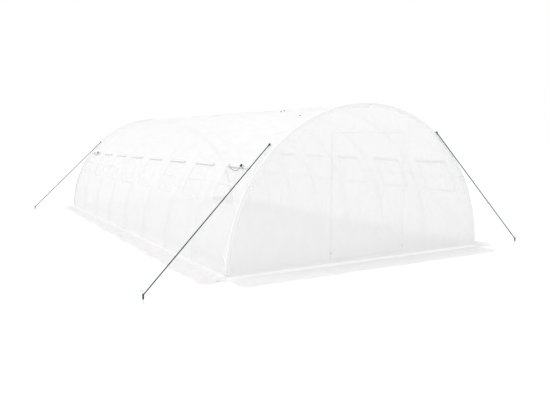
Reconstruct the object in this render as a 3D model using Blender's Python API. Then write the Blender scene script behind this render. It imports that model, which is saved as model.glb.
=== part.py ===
"""A walk-in tunnel greenhouse: steel hoops under a film cover, with film gables that have a zipped door.

Lengths are metres and +Z is up. The origin is on the ground in the middle of the footprint. X runs
across the tunnel, Y runs along it, and the front gable faces -Y. Angles are degrees round the tunnel's
axis, measured up from the ground on each side, so 90 is the ridge.
"""

import math

import bmesh
import bpy
import numpy as np

for leftover in list(bpy.data.objects):
    bpy.data.objects.remove(leftover, do_unlink=True)

# Clearance between pieces that touch
GAP = 0.0003

# Tunnel: a true half circle, so it is twice as wide as it is high
TUNNEL_LENGTH = 8.0
BAYS = 8
COVER_RADIUS = 2.0
FILM = 0.003
FILM_FACETS = 48

# Frame tubes
HOOP_TUBE = 0.025
RAIL_TUBE = 0.025
PURLIN_TUBE = 0.020
BRACE_TUBE = 0.020
TUBE_WALL = 0.0012
TUBE_SIDES = 8
HOOP_FACETS = 24
SIDE_PURLIN_DEG = 31.0

# Corner braces, whose ends are flattened into tabs
BRACE_FOOT_DEG = 3.0
BRACE_BELOW_PURLIN_DEG = 2.5
TAB_THICKNESS = 0.005
TAB_END = 0.010
TAB_CHAMFER = 0.006
TAB_REACH = 0.024
TAB_FLARE = 0.030
FOOT_TAB_INSET = 0.012

# Saddle lugs that stand on a purlin on both sides of each hoop
LUG_THICKNESS = 0.004
LUG_WIDTH = 0.008
LUG_HEIGHT = 0.010

# Windows, one to a bay on each side, with a net behind the film and a flap that rolls up outside it
WINDOW_WIDTH = 0.55
WINDOW_LOW_DEG = 24.0
WINDOW_TOP_DEG = 37.2
NET = 0.002
NET_MARGIN_DEG = 1.5
NET_INSET = 0.03
FLAP_OVERLAP = 0.03
ROLL_DIAMETER = 0.034
ROLL_SIDES = 12
ROLL_ABOVE_DEG = 0.5

# Doors in the gables
DOOR_WIDTH = 1.10
DOOR_TOP = 1.62
DOOR_LAP = 0.02
ZIP_ABOVE_SKIRT = 0.02
ZIP_MARGIN = 0.008
ZIP_PROUD = 0.005
HEM_HEIGHT = 0.03
HEM_THICKNESS = 0.009
SLIDER_WIDTH = 0.022
SLIDER_HEIGHT = 0.036
SLIDER_DEPTH = 0.010
SLIDER_SHOULDER = 0.009
PULL_WIDTH = 0.010
PULL_LENGTH = 0.040
SLIDER_ABOVE_SILL = 0.05

# Ground skirts, which are loose film with shallow ripples
SKIRT = 0.003
SIDE_SKIRT_WIDTH = 0.25
END_SKIRT_WIDTH = 0.38
SIDE_SKIRT_PAST_END = 0.16
SKIRT_CORNER = 0.20
SKIRT_CORNER_SHARE = 0.4
RIPPLE = 0.016
RIPPLE_PITCH = 0.42
RIPPLE_SHARE = 0.75
EDGE_WANDER = 0.012
EDGE_WANDER_PITCH = 1.1
STEPS_PER_RIPPLE = 4
SKIRT_ROWS = 3

# Guy ropes. Each is knotted on at an angle up the arch, in from the film's end, but for the front right one,
# which is knotted on in front of the gable's rim. Its peg stands out from the side and ahead of the end hoop.
ROPE = 0.012
ROPE_POINTS = 24
ROPE_STEP_DEG = 1.0
ROPE_KNOT_DEG = {"front_left": 48.0, "front_right": 55.0, "rear_left": 46.7, "rear_right": 46.2}
ROPE_KNOT_IN = {"front_left": 0.17, "rear_left": 0.10, "rear_right": 0.10}
PEG_OUT = {"front_left": 1.10, "front_right": 0.60, "rear_left": 0.90, "rear_right": 0.86}
PEG_AHEAD = {"front_left": 0.51, "front_right": 0.23, "rear_left": -0.45, "rear_right": -0.40}
PEG_ROD = 0.008
PEG_HEIGHT = 0.15
PEG_POINT = 0.02
PEG_TIP_SHARE = 0.2
PEG_HOOK_RADIUS = 0.014
PEG_HOOK_POINTS = 7
PEG_HOOK_END_DEG = -20.0
PEG_SIDES = 6
ROPE_BELOW_PEG_TOP = 0.05

# How far a cutter reaches past the film, and the least angle between faces that shows as an edge
CUT_PAST_FILM = 0.03
EDGE_DEG = 50.0

# Places that follow from the sizes
BAY = TUNNEL_LENGTH / BAYS
FILM_STEP_DEG = 180 / FILM_FACETS
HOOP_STEP_DEG = 180 / HOOP_FACETS
BRACE_TOP_DEG = SIDE_PURLIN_DEG - BRACE_BELOW_PURLIN_DEG
NET_OUT_RADIUS = COVER_RADIUS - FILM - GAP
NET_IN_RADIUS = NET_OUT_RADIUS - NET
HOOP_RADIUS = NET_IN_RADIUS - GAP - HOOP_TUBE / 2
HOOP_INSIDE = HOOP_RADIUS - HOOP_TUBE / 2
HOOP_FOOT_Z = RAIL_TUBE + GAP
HOOP_FOOT_X = HOOP_RADIUS - HOOP_FOOT_Z * math.tan(math.radians(HOOP_STEP_DEG / 2))
RAIL_X = HOOP_FOOT_X + (HOOP_TUBE - RAIL_TUBE) / 2
END_HOOP_Y = TUNNEL_LENGTH / 2
COVER_END_Y = END_HOOP_Y + HOOP_TUBE / 2
GABLE_IN_Y = COVER_END_Y + GAP
GABLE_OUT_Y = GABLE_IN_Y + FILM
ZIP_OUT_Y = GABLE_OUT_Y + ZIP_PROUD
DOOR_IN_Y = ZIP_OUT_Y + GAP
DOOR_HALF = DOOR_WIDTH / 2 + DOOR_LAP
ZIP_BORDER = DOOR_LAP + GAP + SLIDER_WIDTH + ZIP_MARGIN
ZIP_LOW = RIPPLE + SKIRT + ZIP_ABOVE_SKIRT
DOOR_SILL = ZIP_LOW + ZIP_BORDER
ROLL_RADIUS_FROM_AXIS = COVER_RADIUS + GAP + ROLL_DIAMETER / 2
ROPE_RADIUS_FROM_AXIS = COVER_RADIUS + GAP + ROPE / 2
ROPE_ON_PEG = PEG_HEIGHT - ROPE_BELOW_PEG_TOP
SIDES = {"left": -1, "right": 1}
ENDS = {"front": -1, "rear": 1}


def material(name, colour, roughness, metallic=0.0, alpha=1.0):
    made = bpy.data.materials.new(name)
    made.use_nodes = True
    shader = made.node_tree.nodes["Principled BSDF"]
    shader.inputs["Base Color"].default_value = (*colour, 1.0)
    shader.inputs["Roughness"].default_value = roughness
    shader.inputs["Metallic"].default_value = metallic
    shader.inputs["Alpha"].default_value = alpha
    made.diffuse_color = (*colour, alpha)
    return made


WHITE_STEEL = material("white_steel", (0.80, 0.81, 0.82), 0.35, 0.3)
COVER_FILM = material("cover_film", (0.92, 0.93, 0.93), 0.40, alpha=0.45)
INSECT_NET = material("insect_net", (0.85, 0.86, 0.86), 0.70, alpha=0.60)
SKIRT_FILM = material("skirt_film", (0.78, 0.78, 0.78), 0.50, alpha=0.80)
GREEN_ROPE = material("green_rope", (0.012, 0.085, 0.050), 0.80)
PEG_STEEL = material("peg_steel", (0.50, 0.51, 0.52), 0.35, 0.9)
ZIP_PLASTIC = material("zip_plastic", (0.82, 0.82, 0.82), 0.45)


def add_mesh(name, points, faces, finish, smooth=False):
    """An object from points and faces, with its faces turned outwards."""
    mesh = bpy.data.meshes.new(name)
    mesh.from_pydata([tuple(p) for p in points], [], faces)
    shape = bmesh.new()
    shape.from_mesh(mesh)
    bmesh.ops.recalc_face_normals(shape, faces=shape.faces)
    shape.to_mesh(mesh)
    shape.free()
    if smooth:
        mesh.shade_smooth()
        mesh.set_sharp_from_angle(angle=math.radians(EDGE_DEG))
    if finish:
        mesh.materials.append(finish)
    made = bpy.data.objects.new(name, mesh)
    bpy.context.collection.objects.link(made)
    return made


def move_origin(made, place):
    """Puts an object's origin on a point, such as one on its joint's axis, without moving its shape."""
    offset = np.array(place, float)
    points = np.array([v.co for v in made.data.vertices]) - offset
    made.data.vertices.foreach_set("co", points.ravel())
    made.location = tuple(offset)


def prism(name, outline, start, depth, finish, smooth=False):
    """A flat outline carried along a straight line: its points are 3-D, and depth is the whole way."""
    near = np.array(outline, float) + np.array(start, float)
    far = near + np.array(depth, float)
    n = len(near)
    faces = [list(range(n)), list(range(2 * n - 1, n - 1, -1))]
    faces += [[i, (i + 1) % n, n + (i + 1) % n, n + i] for i in range(n)]
    return add_mesh(name, np.vstack([near, far]), faces, finish, smooth)


def box(name, low, high, finish=None):
    (x0, y0, z0), (x1, y1, z1) = low, high
    outline = [(x0, y0, z0), (x1, y0, z0), (x1, y0, z1), (x0, y0, z1)]
    return prism(name, outline, (0, 0, 0), (0, y1 - y0, 0), finish)


def join_rings(name, rings, finish):
    """Skins rings of equal point counts, and caps the first and the last."""
    count, n = len(rings), len(rings[0])
    faces = [list(range(n)), list(range((count - 1) * n, count * n))]
    for a in range(0, (count - 1) * n, n):
        faces += [[a + i, a + (i + 1) % n, a + n + (i + 1) % n, a + n + i] for i in range(n)]
    return add_mesh(name, np.vstack(rings), faces, finish, smooth=True)


def section_rings(centres, across, along, half_across, half_along, sides=TUBE_SIDES):
    """One ring at each centre, with a flat on each side at the half sizes given."""
    turn = (np.arange(sides) + 0.5) * 2 * math.pi / sides
    grow = 1 / math.cos(math.pi / sides)
    first, second = np.cos(turn) * grow, np.sin(turn) * grow
    return [
        np.array(c) + np.outer(first * ha, a) + np.outer(second * hb, b)
        for c, a, b, ha, hb in zip(centres, across, along, half_across, half_along, strict=True)
    ]


def hollow_tube(name, centres, across, along, half_across, half_along, finish):
    """A tube with open ends. Its outside and its bore are split along the same diagonals."""
    outside = section_rings(centres, across, along, half_across, half_along)
    bore_across = [h - TUBE_WALL for h in half_across]
    bore_along = [h - TUBE_WALL for h in half_along]
    bore = section_rings(centres, across, along, bore_across, bore_along)
    n = TUBE_SIDES
    skin = len(outside) * n
    faces = []
    for i in range(n):
        j = (i + 1) % n
        for a in (*range(0, skin - n, n), *range(skin, 2 * skin - n, n)):
            faces += [[a + i, a + j, a + n + j], [a + n + j, a + n + i, a + i]]
        for a in (0, skin - n):
            faces.append([a + i, a + j, a + skin + j, a + skin + i])
    return add_mesh(name, np.vstack(outside + bore), faces, finish, smooth=True)


def straight_tube(name, start, end, across, along, diameter, finish):
    half = [diameter / 2] * 2
    return hollow_tube(name, [start, end], [across] * 2, [along] * 2, half, half, finish)


def radial(side, degrees):
    """The direction away from the tunnel's axis on one side."""
    turn = math.radians(degrees)
    return np.array([side * math.cos(turn), 0.0, math.sin(turn)])


def tangent(side, degrees):
    """The direction up and round the arch on one side."""
    turn = math.radians(degrees)
    return np.array([-side * math.sin(turn), 0.0, math.cos(turn)])


def arc_angles(low, high, step):
    """The ends of an arc and every whole step between them."""
    inner = np.arange(math.floor(low / step) + 1, math.ceil(high / step)) * step
    return np.concatenate([[low], inner, [high]])


def chord_radius(radius, degrees, step):
    """How far a faceted arch is from its axis at an angle that may lie between its corners."""
    middle = (math.floor(degrees / step) + 0.5) * step
    return radius * math.cos(math.radians(step / 2)) / math.cos(math.radians(degrees - middle))


def height_under_hoop(degrees, half_width):
    """The hoop's inside, measured from the axis at its lowest over a flat that faces that angle."""
    reach = HOOP_INSIDE * math.cos(math.radians(HOOP_STEP_DEG / 2))
    lowest = HOOP_INSIDE
    for k in (-1, 0, 1):
        middle = (math.floor(degrees / HOOP_STEP_DEG) + 0.5 + k) * HOOP_STEP_DEG
        lean = math.radians(middle - degrees)
        for offset in (-half_width, half_width):
            lowest = min(lowest, (reach - offset * math.sin(lean)) / math.cos(lean))
    return lowest


def arc_shell(name, side, radii, angles, ends, finish):
    """A curved panel: part of a ring round the tunnel's axis, between two radii, two angles and two ends."""
    turns = arc_angles(*angles, FILM_STEP_DEG)
    inner, outer = (
        [radial(side, a) * chord_radius(radius, a, FILM_STEP_DEG) for a in turns] for radius in radii
    )
    outline = outer + inner[::-1]
    return prism(name, outline, (0, ends[0], 0), (0, ends[1] - ends[0], 0), finish)


def cut(made, cutter, operation="DIFFERENCE"):
    """Cuts one object with another, or joins them, and leaves the second as a guide."""
    cutter.hide_render = True
    cutter.display_type = "WIRE"
    step = made.modifiers.new(cutter.name, "BOOLEAN")
    step.operation = operation
    step.solver = "EXACT"
    step.object = cutter


def hoop_y(number):
    return -END_HOOP_Y + (number - 1) * BAY


def make_hoop(number):
    """A hoop stands with both feet on the ground rails, so its end rings are level there."""
    y = hoop_y(number)
    turns = np.linspace(0, 180, HOOP_FACETS + 1)
    across = [radial(1, a) for a in turns]
    centres = [HOOP_RADIUS * a + np.array([0, y, 0]) for a in across]
    centres[0] = np.array([HOOP_FOOT_X, y, HOOP_FOOT_Z])
    centres[-1] = np.array([-HOOP_FOOT_X, y, HOOP_FOOT_Z])
    half = [HOOP_TUBE / 2] * len(turns)
    along = [(0, 1, 0)] * len(turns)
    hollow_tube(f"hoop_{number}", centres, across, along, half, half, WHITE_STEEL)


def make_purlin(name, side, degrees):
    """A tube along the tunnel, against the inside of every hoop, with lugs that hold each hoop upright."""
    outward, upward = radial(side, degrees), tangent(side, degrees)
    half_flat = PURLIN_TUBE / 2 * math.tan(math.pi / TUBE_SIDES)
    away = height_under_hoop(degrees, half_flat) - GAP - PURLIN_TUBE / 2
    centre = outward * away
    reach = np.array([0, COVER_END_Y, 0])
    purlin = straight_tube(
        name, centre - reach, centre + reach, outward, upward, PURLIN_TUBE, WHITE_STEEL
    )
    root = centre + outward * (PURLIN_TUBE - TUBE_WALL) / 2
    rise = TUBE_WALL / 2 + LUG_HEIGHT
    corners = [(0, -1), (rise, -1), (rise, 1), (0, 1)]
    outline = [root + outward * out + upward * LUG_WIDTH / 2 * up for out, up in corners]
    for number in range(1, BAYS + 2):
        for facing in (-1, 1):
            start = hoop_y(number) + facing * (HOOP_TUBE / 2 + GAP)
            if abs(start) < COVER_END_Y:
                depth = (0, facing * LUG_THICKNESS, 0)
                lug = prism(f"lug_{name}_{number}_{facing}", outline, (0, start, 0), depth, None)
                cut(purlin, lug, "UNION")


def make_ground_rails():
    for name, side in SIDES.items():
        start = (side * RAIL_X, -COVER_END_Y, RAIL_TUBE / 2)
        end = (side * RAIL_X, COVER_END_Y, RAIL_TUBE / 2)
        straight_tube(f"ground_rail_{name}", start, end, (1, 0, 0), (0, 0, 1), RAIL_TUBE, WHITE_STEEL)
    reach = RAIL_X - RAIL_TUBE / 2 - GAP
    for name, end in ENDS.items():
        y, z = end * (COVER_END_Y - RAIL_TUBE / 2), RAIL_TUBE / 2
        straight_tube(
            f"ground_rail_{name}", (-reach, y, z), (reach, y, z), (0, 1, 0), (0, 0, 1),
            RAIL_TUBE, WHITE_STEEL,
        )


def make_brace(name, side, end):
    """A tube from an end hoop's foot to the next hoop, with both ends flattened against the hoops."""
    half_tab = math.pi * BRACE_TUBE / 4
    normals, tabs = [], []
    foot_y, top_y = END_HOOP_Y - FOOT_TAB_INSET, END_HOOP_Y - BAY
    for degrees, y in ((BRACE_FOOT_DEG, foot_y), (BRACE_TOP_DEG, top_y)):
        normal = radial(side, degrees)
        away = height_under_hoop(degrees, half_tab) - GAP - TAB_THICKNESS / 2
        normals.append(normal)
        tabs.append(normal * away + np.array([0, end * y, 0]))
    run = (tabs[1] - tabs[0]) / np.linalg.norm(tabs[1] - tabs[0])
    slopes = [run - run @ n * n for n in normals]
    slopes = [s / np.linalg.norm(s) for s in slopes]
    centres = [
        tabs[0] - slopes[0] * TAB_END,
        tabs[0] + slopes[0] * TAB_REACH,
        tabs[0] + slopes[0] * (TAB_REACH + TAB_FLARE),
        tabs[1] - slopes[1] * (TAB_REACH + TAB_FLARE),
        tabs[1] - slopes[1] * TAB_REACH,
        tabs[1] + slopes[1] * TAB_END,
    ]
    middle = normals[0] + normals[1] - run @ (normals[0] + normals[1]) * run
    middle = middle / np.linalg.norm(middle)
    across = [normals[0]] * 2 + [middle] * 2 + [normals[1]] * 2
    along = [np.cross(s, n) for s, n in zip([slopes[0]] * 2 + [run] * 2 + [slopes[1]] * 2, across)]
    flat, round_half = TAB_THICKNESS / 2, BRACE_TUBE / 2
    half_across = [flat, flat, round_half, round_half, flat, flat]
    half_end = half_tab - TAB_CHAMFER
    half_along = [half_end, half_tab, round_half, round_half, half_tab, half_end]
    hollow_tube(name, centres, across, along, half_across, half_along, WHITE_STEEL)


def window_ends(bay, margin=0.0):
    middle = hoop_y(bay) + BAY / 2
    return middle - WINDOW_WIDTH / 2 - margin, middle + WINDOW_WIDTH / 2 + margin


def make_cover_film():
    """The film over the hoops, from the ground on one side to the ground on the other, with its windows."""
    radii = (COVER_RADIUS - FILM, COVER_RADIUS)
    film = arc_shell("cover", 1, radii, (0.0, 180.0), (-COVER_END_Y, COVER_END_Y), COVER_FILM)
    through = (COVER_RADIUS - CUT_PAST_FILM, COVER_RADIUS + CUT_PAST_FILM)
    angles = (WINDOW_LOW_DEG, WINDOW_TOP_DEG)
    for name, side in SIDES.items():
        for bay in range(1, BAYS + 1):
            window = arc_shell(f"window_{name}_{bay}", side, through, angles, window_ends(bay), None)
            cut(film, window)


def make_net(name, side):
    """The strip of net behind a side's windows, between the film and the hoops."""
    angles = (WINDOW_LOW_DEG - NET_MARGIN_DEG, WINDOW_TOP_DEG + NET_MARGIN_DEG)
    ends = (-COVER_END_Y + NET_INSET, COVER_END_Y - NET_INSET)
    arc_shell(f"window_net_{name}", side, (NET_IN_RADIUS, NET_OUT_RADIUS), angles, ends, INSECT_NET)


def make_flap(name, side, bay):
    """A window's flap, rolled up along the top of the window, with the lap of the roll against the film."""
    degrees = WINDOW_TOP_DEG + ROLL_ABOVE_DEG
    outward, upward = radial(side, degrees), tangent(side, degrees)
    turns = np.linspace(0, 2 * math.pi, ROLL_SIDES + 1)
    size = ROLL_DIAMETER / 2 - FILM + FILM * turns / (2 * math.pi)
    centre = outward * ROLL_RADIUS_FROM_AXIS
    outline = [centre - outward * s * math.cos(t) - upward * s * math.sin(t) for s, t in zip(size, turns)]
    start, end = window_ends(bay, FLAP_OVERLAP)
    flap = prism(
        f"window_flap_{name}_{bay}", outline, (0, start, 0), (0, end - start, 0), COVER_FILM, smooth=True
    )
    move_origin(flap, (0, (start + end) / 2, 0))


def make_gable(name, end):
    """A half disc of film with a doorway, and the raised tape of the door's zips round it."""
    turns = arc_angles(0, 180, FILM_STEP_DEG)
    outline = [radial(1, a) * COVER_RADIUS for a in turns]
    gable = prism(f"gable_{name}", outline, (0, end * GABLE_IN_Y, 0), (0, end * FILM, 0), COVER_FILM)
    half = DOOR_WIDTH / 2 + ZIP_BORDER
    depths = sorted((end * (GABLE_IN_Y + FILM / 2), end * ZIP_OUT_Y))
    tape = box(f"zip_tape_{name}", (-half, depths[0], ZIP_LOW), (half, depths[1], DOOR_TOP + ZIP_BORDER))
    cut(gable, tape, "UNION")
    depths = sorted((end * (GABLE_IN_Y - CUT_PAST_FILM), end * (ZIP_OUT_Y + CUT_PAST_FILM)))
    doorway = box(
        f"doorway_{name}",
        (-DOOR_WIDTH / 2, depths[0], DOOR_SILL),
        (DOOR_WIDTH / 2, depths[1], DOOR_TOP),
    )
    cut(gable, doorway)


def make_door(name, end):
    """A film door that hangs from its top seam, with a stiffened hem along its foot."""
    foot, top = DOOR_SILL - DOOR_LAP, DOOR_TOP + DOOR_LAP
    profile = [(0, foot), (HEM_THICKNESS, foot), (HEM_THICKNESS, foot + HEM_HEIGHT)]
    profile += [(FILM, foot + HEM_HEIGHT + HEM_THICKNESS), (FILM, top), (0, top)]
    outline = [(-DOOR_HALF, end * (DOOR_IN_Y + depth), z) for depth, z in profile]
    door = prism(f"door_{name}", outline, (0, 0, 0), (2 * DOOR_HALF, 0, 0), COVER_FILM)
    move_origin(door, (0, end * DOOR_IN_Y, top))


def make_slider(name, side, end):
    """A zip's slider with its pull, which hangs below it."""
    body, pull = SLIDER_WIDTH / 2, PULL_WIDTH / 2
    corners = [(pull, -PULL_LENGTH), (body - pull, 0), (body, SLIDER_SHOULDER)]
    corners += [(body, SLIDER_HEIGHT - SLIDER_SHOULDER), (pull, SLIDER_HEIGHT)]
    corners += [(-x, z) for x, z in corners[::-1]]
    centre_x = side * (DOOR_HALF + GAP + SLIDER_WIDTH / 2)
    base = DOOR_SILL + SLIDER_ABOVE_SILL
    outline = [(centre_x + x, 0, base + z) for x, z in corners]
    start = (0, end * (ZIP_OUT_Y + GAP), 0)
    slider = prism(f"zip_slider_{name}", outline, start, (0, end * SLIDER_DEPTH, 0), ZIP_PLASTIC)
    move_origin(slider, (centre_x, end * (ZIP_OUT_Y + GAP), base))


def make_skirt(name, inner_start, along, outward, length, width):
    """A loose strip on the ground. Its outer edge wanders, its corners are drawn in, and it ripples."""
    columns = math.ceil(length / RIPPLE_PITCH * STEPS_PER_RIPPLE)
    run = np.linspace(0, length, columns + 1)
    from_end = np.minimum(run, length - run)
    rounding = np.clip(1 - from_end / SKIRT_CORNER, 0, 1)
    drawn_in = SKIRT_CORNER_SHARE + (1 - SKIRT_CORNER_SHARE) * np.sqrt(1 - rounding**2)
    turns = 2 * math.pi * (run - length / 2)
    phase = turns / RIPPLE_PITCH
    edge = width + EDGE_WANDER * np.cos(turns / EDGE_WANDER_PITCH)
    share = np.linspace(0, 1, SKIRT_ROWS + 1)
    reach = np.outer(edge * drawn_in, share)
    ripple = (0.5 + 0.5 * np.cos(phase))[:, None] * np.sin(math.pi * share * RIPPLE_SHARE) ** 2
    place = (
        np.array(inner_start, float)
        + run[:, None, None] * np.array([*along, 0.0])
        + reach[:, :, None] * np.array([*outward, 0.0])
    )
    lower, upper = place.copy(), place.copy()
    lower[:, :, 2] = RIPPLE * ripple
    upper[:, :, 2] = RIPPLE * ripple + SKIRT
    rows = SKIRT_ROWS + 1
    rings = [np.vstack([lower[c], upper[c][::-1]]) for c in range(columns + 1)]
    n = 2 * rows
    quads = []
    for a in range(0, columns * n, n):
        quads += [[a + i, a + (i + 1) % n, a + n + (i + 1) % n, a + n + i] for i in range(n)]
    for a in (0, columns * n):
        quads += [[a + i, a + i + 1, a + n - 2 - i, a + n - 1 - i] for i in range(rows - 1)]
    add_mesh(f"skirt_{name}", np.vstack(rings), quads, SKIRT_FILM, smooth=True)


def make_skirts():
    for name, side in SIDES.items():
        length = 2 * (GABLE_OUT_Y + SIDE_SKIRT_PAST_END)
        start = (side * (COVER_RADIUS + GAP), -length / 2, 0)
        make_skirt(name, start, (0, 1), (side, 0), length, SIDE_SKIRT_WIDTH)
    for name, end in ENDS.items():
        start = (-COVER_RADIUS, end * (GABLE_OUT_Y + GAP), 0)
        make_skirt(name, start, (1, 0), (0, end), 2 * COVER_RADIUS, END_SKIRT_WIDTH)


def peg_place(name, side, end):
    return side * (COVER_RADIUS + PEG_OUT[name]), end * (END_HOOP_Y + PEG_AHEAD[name])


def lying_rope(knot_deg, peg):
    """Across and up: the points where the rope lies on the film, and the one where it leaves it or starts."""
    leave = math.degrees(math.atan2(peg[1], peg[0]))
    leave += math.degrees(math.acos(ROPE_RADIUS_FROM_AXIS / math.hypot(*peg)))
    if knot_deg > leave:
        turns = [*np.arange(knot_deg, leave, -ROPE_STEP_DEG), leave]
        return [radial(1, a)[[0, 2]] * ROPE_RADIUS_FROM_AXIS for a in turns]
    seat = chord_radius(COVER_RADIUS, knot_deg, FILM_STEP_DEG) + GAP + ROPE / 2
    return [radial(1, knot_deg)[[0, 2]] * seat]


def rope_route(name, side, end):
    """A taut line from the knot to the peg. Where the arch is in its way, it lies on the film first. Its
    place along the tunnel changes evenly on the way, and it stops where its end would touch the peg."""
    peg_x, peg_y = peg_place(name, 1, 1)
    peg = np.array([peg_x, ROPE_ON_PEG])
    if name in ROPE_KNOT_IN:
        knot_y = COVER_END_Y - ROPE_KNOT_IN[name]
        lying = lying_rope(ROPE_KNOT_DEG[name], peg)
    else:
        knot_y = GABLE_OUT_Y + GAP + ROPE / 2
        lying = [radial(1, ROPE_KNOT_DEG[name])[[0, 2]] * COVER_RADIUS]
    flat = np.array([*lying, peg])
    way = np.concatenate([[0], np.cumsum(np.linalg.norm(np.diff(flat, axis=0), axis=1))])
    y = knot_y + (peg_y - knot_y) * way / way[-1]
    points = np.stack([flat[:, 0], y, flat[:, 1]], -1)
    run = points[-1] - points[-2]
    slope = abs(run[2]) / np.linalg.norm(run)
    stop = points[-1].copy()
    stop[:2] -= run[:2] / np.linalg.norm(run[:2]) * (PEG_ROD / 2 + GAP + ROPE / 2 * slope)
    straight = [points[-2] + (stop - points[-2]) * t for t in np.linspace(0, 1, ROPE_POINTS)]
    return [(side * x, end * y, z) for x, y, z in [*points[:-2], *straight]]


def make_rope(name, side, end):
    points = rope_route(name, side, end)
    curve = bpy.data.curves.new(f"guy_rope_{name}", "CURVE")
    curve.dimensions = "3D"
    curve.bevel_depth = ROPE / 2
    curve.bevel_resolution = 2
    curve.use_fill_caps = True
    spline = curve.splines.new("POLY")
    spline.points.add(len(points) - 1)
    for point, place in zip(spline.points, points, strict=True):
        point.co = (*place, 1.0)
    curve.materials.append(GREEN_ROPE)
    made = bpy.data.objects.new(f"guy_rope_{name}", curve)
    bpy.context.collection.objects.link(made)


def make_peg(name, side, end):
    """A wire peg that stands on its point, with a hook at its top that faces away from the tunnel."""
    rod, tip = PEG_ROD / 2, PEG_ROD / 2 * PEG_TIP_SHARE
    turns = np.radians(np.linspace(180, PEG_HOOK_END_DEG, PEG_HOOK_POINTS))
    hook_x = PEG_HOOK_RADIUS * (1 + np.cos(turns))
    hook_z = PEG_HEIGHT - rod - PEG_HOOK_RADIUS + PEG_HOOK_RADIUS * np.sin(turns)
    path = [(0, 0), (0, PEG_POINT), *zip(hook_x, hook_z, strict=True)]
    leans = [90.0, 90.0, *np.degrees(turns) - 90]
    sizes = [tip] + [rod] * (len(path) - 1)
    peg_x, peg_y = peg_place(name, side, end)
    centres = [(peg_x + side * x, peg_y, z) for x, z in path]
    across = []
    for lean in leans:
        turn = math.radians(lean + 90)
        across.append((side * math.cos(turn), 0, math.sin(turn)))
    along = [(0, 1, 0)] * len(path)
    rings = section_rings(centres, across, along, sizes, sizes, PEG_SIDES)
    join_rings(f"peg_{name}", rings, PEG_STEEL)


def make_frame():
    for number in range(1, BAYS + 2):
        make_hoop(number)
    make_purlin("ridge_purlin", 1, 90.0)
    for name, side in SIDES.items():
        make_purlin(f"side_purlin_{name}", side, SIDE_PURLIN_DEG)
    make_ground_rails()
    for end_name, end in ENDS.items():
        for side_name, side in SIDES.items():
            make_brace(f"corner_brace_{end_name}_{side_name}", side, end)


def make_cover():
    make_cover_film()
    for name, side in SIDES.items():
        make_net(name, side)
        for bay in range(1, BAYS + 1):
            make_flap(name, side, bay)
    for name, end in ENDS.items():
        make_gable(name, end)
        make_door(name, end)
        for side_name, side in SIDES.items():
            make_slider(f"{name}_{side_name}", side, end)
    make_skirts()


def make_anchors():
    for end_name, end in ENDS.items():
        for side_name, side in SIDES.items():
            name = f"{end_name}_{side_name}"
            make_rope(name, side, end)
            make_peg(name, side, end)


make_frame()
make_cover()
make_anchors()
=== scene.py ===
# %% [markdown]
# # A walk-in tunnel greenhouse
#
# Nine half-round steel hoops stand a metre apart under one sheet of milky film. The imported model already
# holds every tube, panel and joint at its real size. This script dresses it: smooth tubes with their clamps,
# film that sags and creases between the hoops, rolled flaps over netted windows, and braided guy ropes.
# Lengths are metres, +Z is up, X runs across the tunnel and Y runs along it, with the front at -Y.

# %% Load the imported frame
import math

import bmesh
import bpy
import numpy as np
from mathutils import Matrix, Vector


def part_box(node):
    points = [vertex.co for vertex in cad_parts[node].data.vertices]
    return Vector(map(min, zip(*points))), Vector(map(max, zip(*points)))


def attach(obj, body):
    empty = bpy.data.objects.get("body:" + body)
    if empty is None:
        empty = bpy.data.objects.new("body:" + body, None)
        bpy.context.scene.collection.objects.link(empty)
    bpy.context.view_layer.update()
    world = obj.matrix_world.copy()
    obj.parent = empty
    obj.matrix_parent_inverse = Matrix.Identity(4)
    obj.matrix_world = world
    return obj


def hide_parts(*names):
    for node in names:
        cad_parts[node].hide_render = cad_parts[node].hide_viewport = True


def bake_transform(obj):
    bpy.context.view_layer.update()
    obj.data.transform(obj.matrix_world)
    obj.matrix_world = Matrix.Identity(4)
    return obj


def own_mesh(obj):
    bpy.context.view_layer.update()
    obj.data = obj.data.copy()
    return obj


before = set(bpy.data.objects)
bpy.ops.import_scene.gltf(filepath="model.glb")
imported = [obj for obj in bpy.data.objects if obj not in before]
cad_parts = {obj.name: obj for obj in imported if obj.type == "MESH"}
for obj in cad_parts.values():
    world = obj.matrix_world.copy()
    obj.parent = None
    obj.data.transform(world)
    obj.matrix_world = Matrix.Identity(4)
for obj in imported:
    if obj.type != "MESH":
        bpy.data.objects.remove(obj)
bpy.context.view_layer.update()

# %% [markdown]
# ## Camera
#
# The camera comes first. Its place and its lens were worked out from the ground edges, the hoops and the
# ridge: a person's eye height, in front of the left corner, and a lens a little longer than a phone's.

# %% Camera at the photograph's angle
CAMERA_PLACE = (-4.742, -9.783, 1.575)
CAMERA_TURN_DEG = 30.32
CAMERA_DOWN_DEG = 6.72
CAMERA_LENS = 38.27
VIEW_DEPTH = 200.0

camera_data = bpy.data.cameras.new("camera")
camera_data.lens = CAMERA_LENS
camera_data.clip_end = VIEW_DEPTH
camera = bpy.data.objects.new("camera", camera_data)
camera.location = CAMERA_PLACE
camera.rotation_euler = (math.radians(90 - CAMERA_DOWN_DEG), 0, math.radians(-CAMERA_TURN_DEG))
bpy.context.scene.collection.objects.link(camera)
bpy.context.scene.camera = camera
print("camera", CAMERA_PLACE)

# %% [markdown]
# ## Measures
#
# Everything below hangs on a few sizes. The frame gives them: the hoops' places and thickness, and the film's
# radius. The drawn film has no thickness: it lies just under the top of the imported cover, and a gable's close
# to the cover's end. Angles are measured up from the ground on each side, so 90 degrees is the ridge.

# %% Sizes that the frame gives
def middle(node):
    low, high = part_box(node)
    return (low + high) / 2


def extent(node):
    low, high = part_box(node)
    return high - low


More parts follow.
